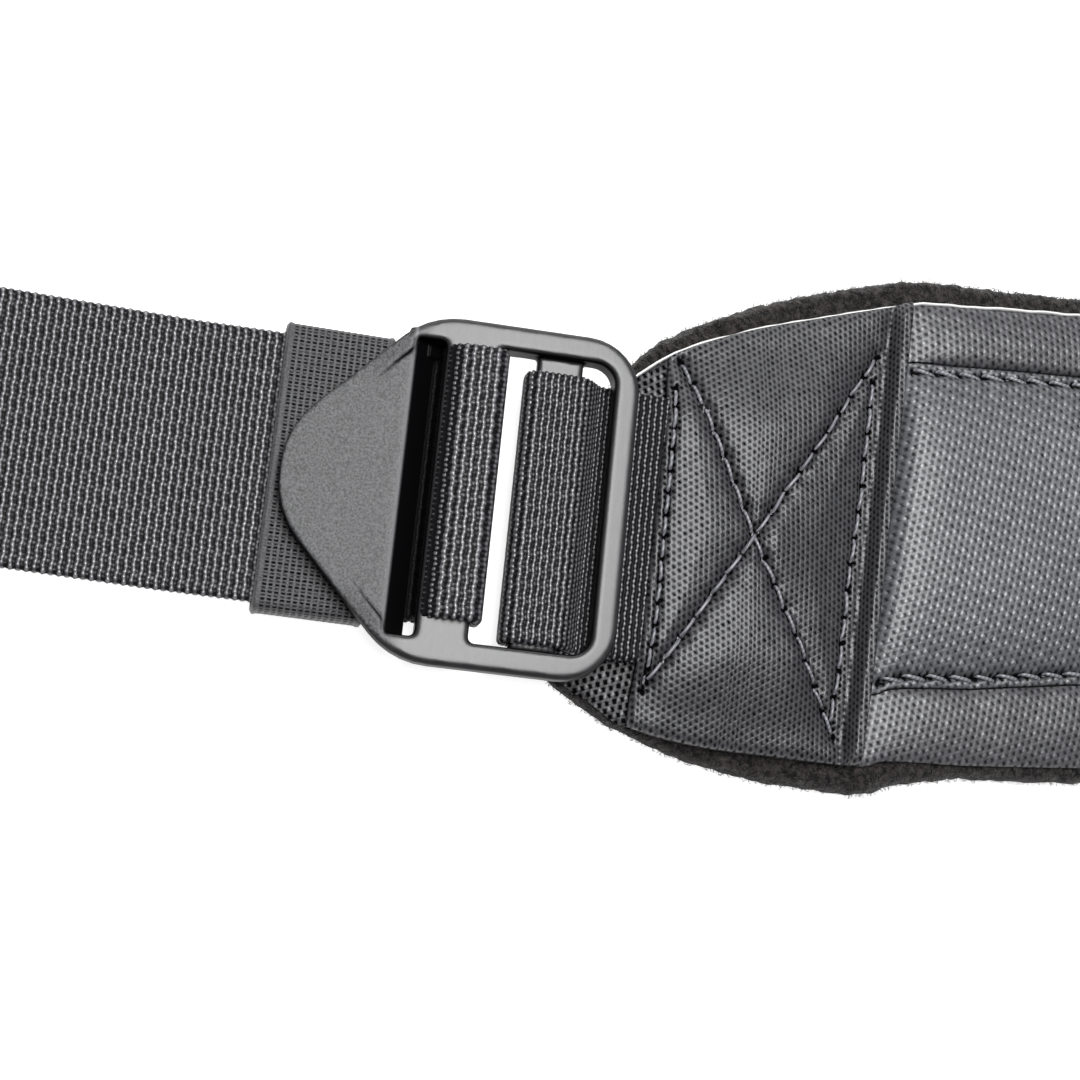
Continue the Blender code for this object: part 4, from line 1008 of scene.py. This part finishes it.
def stitch_tree(material):
    """Geometry nodes that set a stitch at every pitch of a seam line."""
    tree = bpy.data.node_groups.new("stitch_row", "GeometryNodeTree")
    tree.interface.new_socket("Geometry", in_out="INPUT", socket_type="NodeSocketGeometry")
    tree.interface.new_socket("Stitches", in_out="INPUT", socket_type="NodeSocketInt")
    for name in ("Stitch length", "Thread", "Slant"):
        tree.interface.new_socket(name, in_out="INPUT", socket_type="NodeSocketFloat")
    tree.interface.new_socket("Geometry", in_out="OUTPUT", socket_type="NodeSocketGeometry")
    seam = add_node(tree, "NodeGroupInput").node
    spots = add_node(tree, "GeometryNodeResampleCurve", {"Curve": seam.outputs[0], "Count": seam.outputs[1]})
    # One stitch: a line along X whose ends dip into the cloth, swept by a round thread
    half = add_node(tree, "ShaderNodeMath", {0: seam.outputs[2], 1: 0.5}, operation="MULTIPLY")
    back = add_node(tree, "ShaderNodeMath", {0: half, 1: -1.0}, operation="MULTIPLY")
    line = add_node(tree, "GeometryNodeCurvePrimitiveLine", {
        "Start": add_node(tree, "ShaderNodeCombineXYZ", {0: back}),
        "End": add_node(tree, "ShaderNodeCombineXYZ", {0: half})})
    line = add_node(tree, "GeometryNodeResampleCurve", {"Curve": line, "Count": 9})
    share = add_node(tree, "GeometryNodeSplineParameter")
    bow = add_node(tree, "ShaderNodeMath", {0: share, 1: 2.0, 2: -1.0}, operation="MULTIPLY_ADD")
    bow = add_node(tree, "ShaderNodeMath", {0: bow, 1: 4.0}, operation="POWER")
    bow = add_node(tree, "ShaderNodeMath", {0: bow, 1: -0.85 * mm}, operation="MULTIPLY")
    line = add_node(tree, "GeometryNodeSetPosition", {"Geometry": line,
                                                      "Offset": add_node(tree, "ShaderNodeCombineXYZ", {2: bow})})
    ring = add_node(tree, "GeometryNodeCurvePrimitiveCircle", {"Resolution": 8, "Radius": add_node(
        tree, "ShaderNodeMath", {0: seam.outputs[3], 1: 0.5}, operation="MULTIPLY")})
    stitch = add_node(tree, "GeometryNodeCurveToMesh", {"Curve": line, "Profile Curve": ring, "Fill Caps": True})
    stitch = add_node(tree, "GeometryNodeSetShadeSmooth", {"Geometry": stitch})
    aim = add_node(tree, "FunctionNodeAlignRotationToVector", {
        "Vector": add_node(tree, "GeometryNodeInputTangent")}, axis="X")
    aim = add_node(tree, "FunctionNodeAlignRotationToVector", {
        "Rotation": aim, "Vector": (0.0, 0.0, 1.0)}, axis="Z", pivot_axis="X")
    sway = add_node(tree, "FunctionNodeRandomValue", {"Min": (-0.06, -0.05, -0.12), "Max": (0.06, 0.05, 0.12),
                                                      "Seed": 11}, data_type="FLOAT_VECTOR")
    lean = add_node(tree, "ShaderNodeVectorMath", {0: sway, 1: add_node(
        tree, "ShaderNodeCombineXYZ", {2: seam.outputs[4]})}, operation="ADD")
    aim = add_node(tree, "FunctionNodeRotateRotation", {"Rotation": aim, "Rotate By": lean}, rotation_space="LOCAL")
    grow = add_node(tree, "FunctionNodeRandomValue", {2: 0.9, 3: 1.1, "Seed": 5}, data_type="FLOAT").node.outputs[1]
    row = add_node(tree, "GeometryNodeInstanceOnPoints", {"Points": spots, "Instance": stitch, "Rotation": aim,
                                                          "Scale": grow})
    row = add_node(tree, "GeometryNodeRealizeInstances", {0: row})
    row = add_node(tree, "GeometryNodeSetMaterial", {"Geometry": row, "Material": material})
    tree.nodes.new("NodeGroupOutput")
    tree.links.new(row, tree.nodes[-1].inputs[0])
    return tree


def surface_of(*pieces):
    """Height of the highest of these pieces at a place in plan."""
    points, faces = [], []
    for piece in pieces:
        start = len(points)
        points += [vert.co for vert in piece.data.vertices]
        faces += [[start + k for k in face.vertices] for face in piece.data.polygons]
    tree = BVHTree.FromPolygons(points, faces)
    return lambda x, y: tree.ray_cast(Vector((x, y, 0.1)), Vector((0, 0, -1)))[0].z


def seam_curve(name, line, inset, height, raise_by):
    """A poly curve laid on a surface along a line given in plan, drawn in at both ends."""
    far = np.r_[0, np.cumsum(np.linalg.norm(np.diff(np.array(line), axis=0), axis=1))]
    along = np.linspace(inset, far[-1] - inset, max(3, round(far[-1] / (0.6 * mm))))
    points = np.stack([np.interp(along, far, column) for column in np.array(line).T], axis=1)
    curve = bpy.data.curves.new(name, "CURVE")
    curve.dimensions = "3D"
    spline = curve.splines.new("POLY")
    spline.points.add(len(points) - 1)
    for spot, (x, y) in zip(spline.points, points + place[:2]):
        spot.co = (x, y, height(x, y) + raise_by, 1)
    return curve


def sew(name, lines, height, length, thread, slant, material):
    """Stitch rows along several lines, each with its pitch, joined into one piece."""
    tree = stitch_tree(material)
    keys = [item.identifier for item in tree.interface.items_tree if item.in_out == "INPUT"][1:]
    joined = bmesh.new()
    for k, (line, pitch) in enumerate(lines):
        span, count = stitch_count(line, pitch)
        curve = seam_curve(name, line, span / count / 2, height, thread * 0.25)
        row = bpy.data.objects.new(f"{name}_{k}", curve)
        bpy.context.collection.objects.link(row)
        nodes = row.modifiers.new("stitches", "NODES")
        nodes.node_group = tree
        for key, value in zip(keys, (count, length * span / count, thread, slant)):
            nodes[key] = value
        graph = bpy.context.evaluated_depsgraph_get()
        mesh = bpy.data.meshes.new_from_object(row.evaluated_get(graph))
        joined.from_mesh(mesh)
        bpy.data.objects.remove(row)
    mesh = bpy.data.meshes.new(name)
    joined.to_mesh(mesh)
    joined.free()
    mesh.materials.clear()
    mesh.materials.append(material)
    made = bpy.data.objects.new(name, mesh)
    bpy.context.collection.objects.link(made)
    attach(made, "root")
    return made


dark_thread = bonded_thread("bonded_nylon_thread", "#8a8a90")
on_lap = surface_of(lap)
sew("lap_stitches", [seam[:2] for seam in lap_seams], on_lap, 0.80, thread_thick, 0.0, dark_thread)

sew("panel_stitches", [(line, panel_pitch) for line in panel_seams()], surface_of(panel), 0.88, 0.80 * mm, -0.26,
    dark_thread)

# White cut edge. Real piece: the cover's nylon is laminated to white scrim, whose cut edge shows as a fine
# white line along the pad's high side.
scrim_wide, scrim_high = 0.50 * mm, 0.9 * mm


def make_cut_edge():
    numbers, rows = pad_lines(0.8 * mm)
    rows = rows[(numbers >= 1.6) & (numbers < far_row + 0.4)]
    line = rows[:, 2:4]
    heading = np.gradient(line, axis=0)
    heading /= np.linalg.norm(heading, axis=1, keepdims=True)
    out = np.stack([-heading[:, 1], heading[:, 0]], axis=1)
    wave = noise_field(np.c_[line, line[:, :1] * 0], 3.4 * mm, 7.7) * 0.26 * mm
    rings = []
    for side, height in ((0.0, 0.25), (0.25, 0.75), (0.6, 1.0), (1.0, 0.8), (1.0, 0.1), (0.0, 0.0)):
        offset = (side * scrim_wide - 0.1 * mm + wave)[:, None]
        rings.append(np.c_[line + out * offset, np.full(len(line), cover_top - 0.75 * mm + height * scrim_high)])
    rings = np.swapaxes(np.array(rings), 0, 1) + place
    return skin("cover_cut_edge", rings, rings[..., :2])


def white_scrim():
    """Cut edge of a white polyester scrim: chalky, slightly ragged."""
    material = bpy.data.materials.new("white_scrim")
    material.use_nodes = True
    tree = material.node_tree
    shader = tree.nodes["Principled BSDF"]
    spot = add_node(tree, "ShaderNodeTexCoord").node.outputs["Object"]
    rag = add_node(tree, "ShaderNodeTexNoise", {"Vector": spot, "Scale": 1500.0, "Detail": 2.0})
    colour = add_node(tree, "ShaderNodeMix", {0: rag, 6: linear("#dfdfdd"), 7: linear("#fbfbfa")}, data_type="RGBA")
    tree.links.new(colour.node.outputs[2], shader.inputs["Base Color"])
    bump = add_node(tree, "ShaderNodeBump", {"Height": rag, "Strength": 0.6, "Distance": 0.1 * mm})
    tree.links.new(bump, shader.inputs["Normal"])
    shader.inputs["Roughness"].default_value = 0.9
    return material


cut_edge = make_cut_edge()
cut_edge.data.materials.append(white_scrim())
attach(cut_edge, "root")

# Floor, light and camera. A light table with a milky top, one large softbox overhead, a weaker strip low down
# beyond the strap, and a lens of 64 mm above the strap, a little towards its near left side.
floor_mesh = bpy.data.meshes.new("floor")
floor_mesh.from_pydata([(-3, -3, 0), (3, -3, 0), (3, 3, 0), (-3, 3, 0)], [], [(0, 1, 2, 3)])
floor = bpy.data.objects.new("floor", floor_mesh)
bpy.context.collection.objects.link(floor)
milky = bpy.data.materials.new("milky_acrylic")
milky.use_nodes = True
top = milky.node_tree.nodes["Principled BSDF"]
top.inputs["Base Color"].default_value = linear("#bcbcbc")
top.inputs["Roughness"].default_value = 0.7
top.inputs["Specular IOR Level"].default_value = 0.1
top.inputs["Emission Color"].default_value = (1, 1, 1, 1)
top.inputs["Emission Strength"].default_value = 0.85
floor_mesh.materials.append(milky)

world = bpy.data.worlds.new("studio")
bpy.context.scene.world = world
world.use_nodes = True
world.node_tree.nodes["Background"].inputs["Color"].default_value = linear("#fbfcff")
world.node_tree.nodes["Background"].inputs["Strength"].default_value = 0.06

view_centre = Vector(place) + Vector((16.6, -6.86, 8.0)) * mm
# Columns: place from the middle of the view in metres, sides of the lamp in metres, watts
for name, spot, size, watts in (("softbox_above", (0.02, 0.13, 0.76), (0.26, 0.60), 8.6),
                                ("strip_far", (-0.05, 0.85, 0.28), (0.90, 0.22), 2.0)):
    lamp = bpy.data.lights.new(name, "AREA")
    lamp.shape, lamp.size, lamp.size_y, lamp.energy = "RECTANGLE", *size, watts
    holder = bpy.data.objects.new(name, lamp)
    bpy.context.collection.objects.link(holder)
    holder.location = view_centre + Vector(spot)
    holder.rotation_euler = Vector(spot).to_track_quat("Z", "Y").to_euler()

toward = Vector((-0.20, -0.20, 1.0)).normalized()
upward = (Vector((0, 1, 0)) - toward * toward.y).normalized()
rightward = upward.cross(toward)
roll = math.radians(5.831)
right = rightward * math.cos(roll) + upward * math.sin(roll)
above = upward * math.cos(roll) - rightward * math.sin(roll)
lens = bpy.data.cameras.new("camera")
lens.sensor_width = 36.0
lens.lens = 1925 / 1080 * 36.0
lens.clip_start = 0.01
camera = bpy.data.objects.new("camera", lens)
bpy.context.collection.objects.link(camera)
camera.matrix_world = Matrix.Translation(view_centre + toward * 0.350) @ Matrix((right, above, toward)).transposed().to_4x4()
bpy.context.scene.camera = camera
bpy.context.scene.view_settings.view_transform = "Standard"
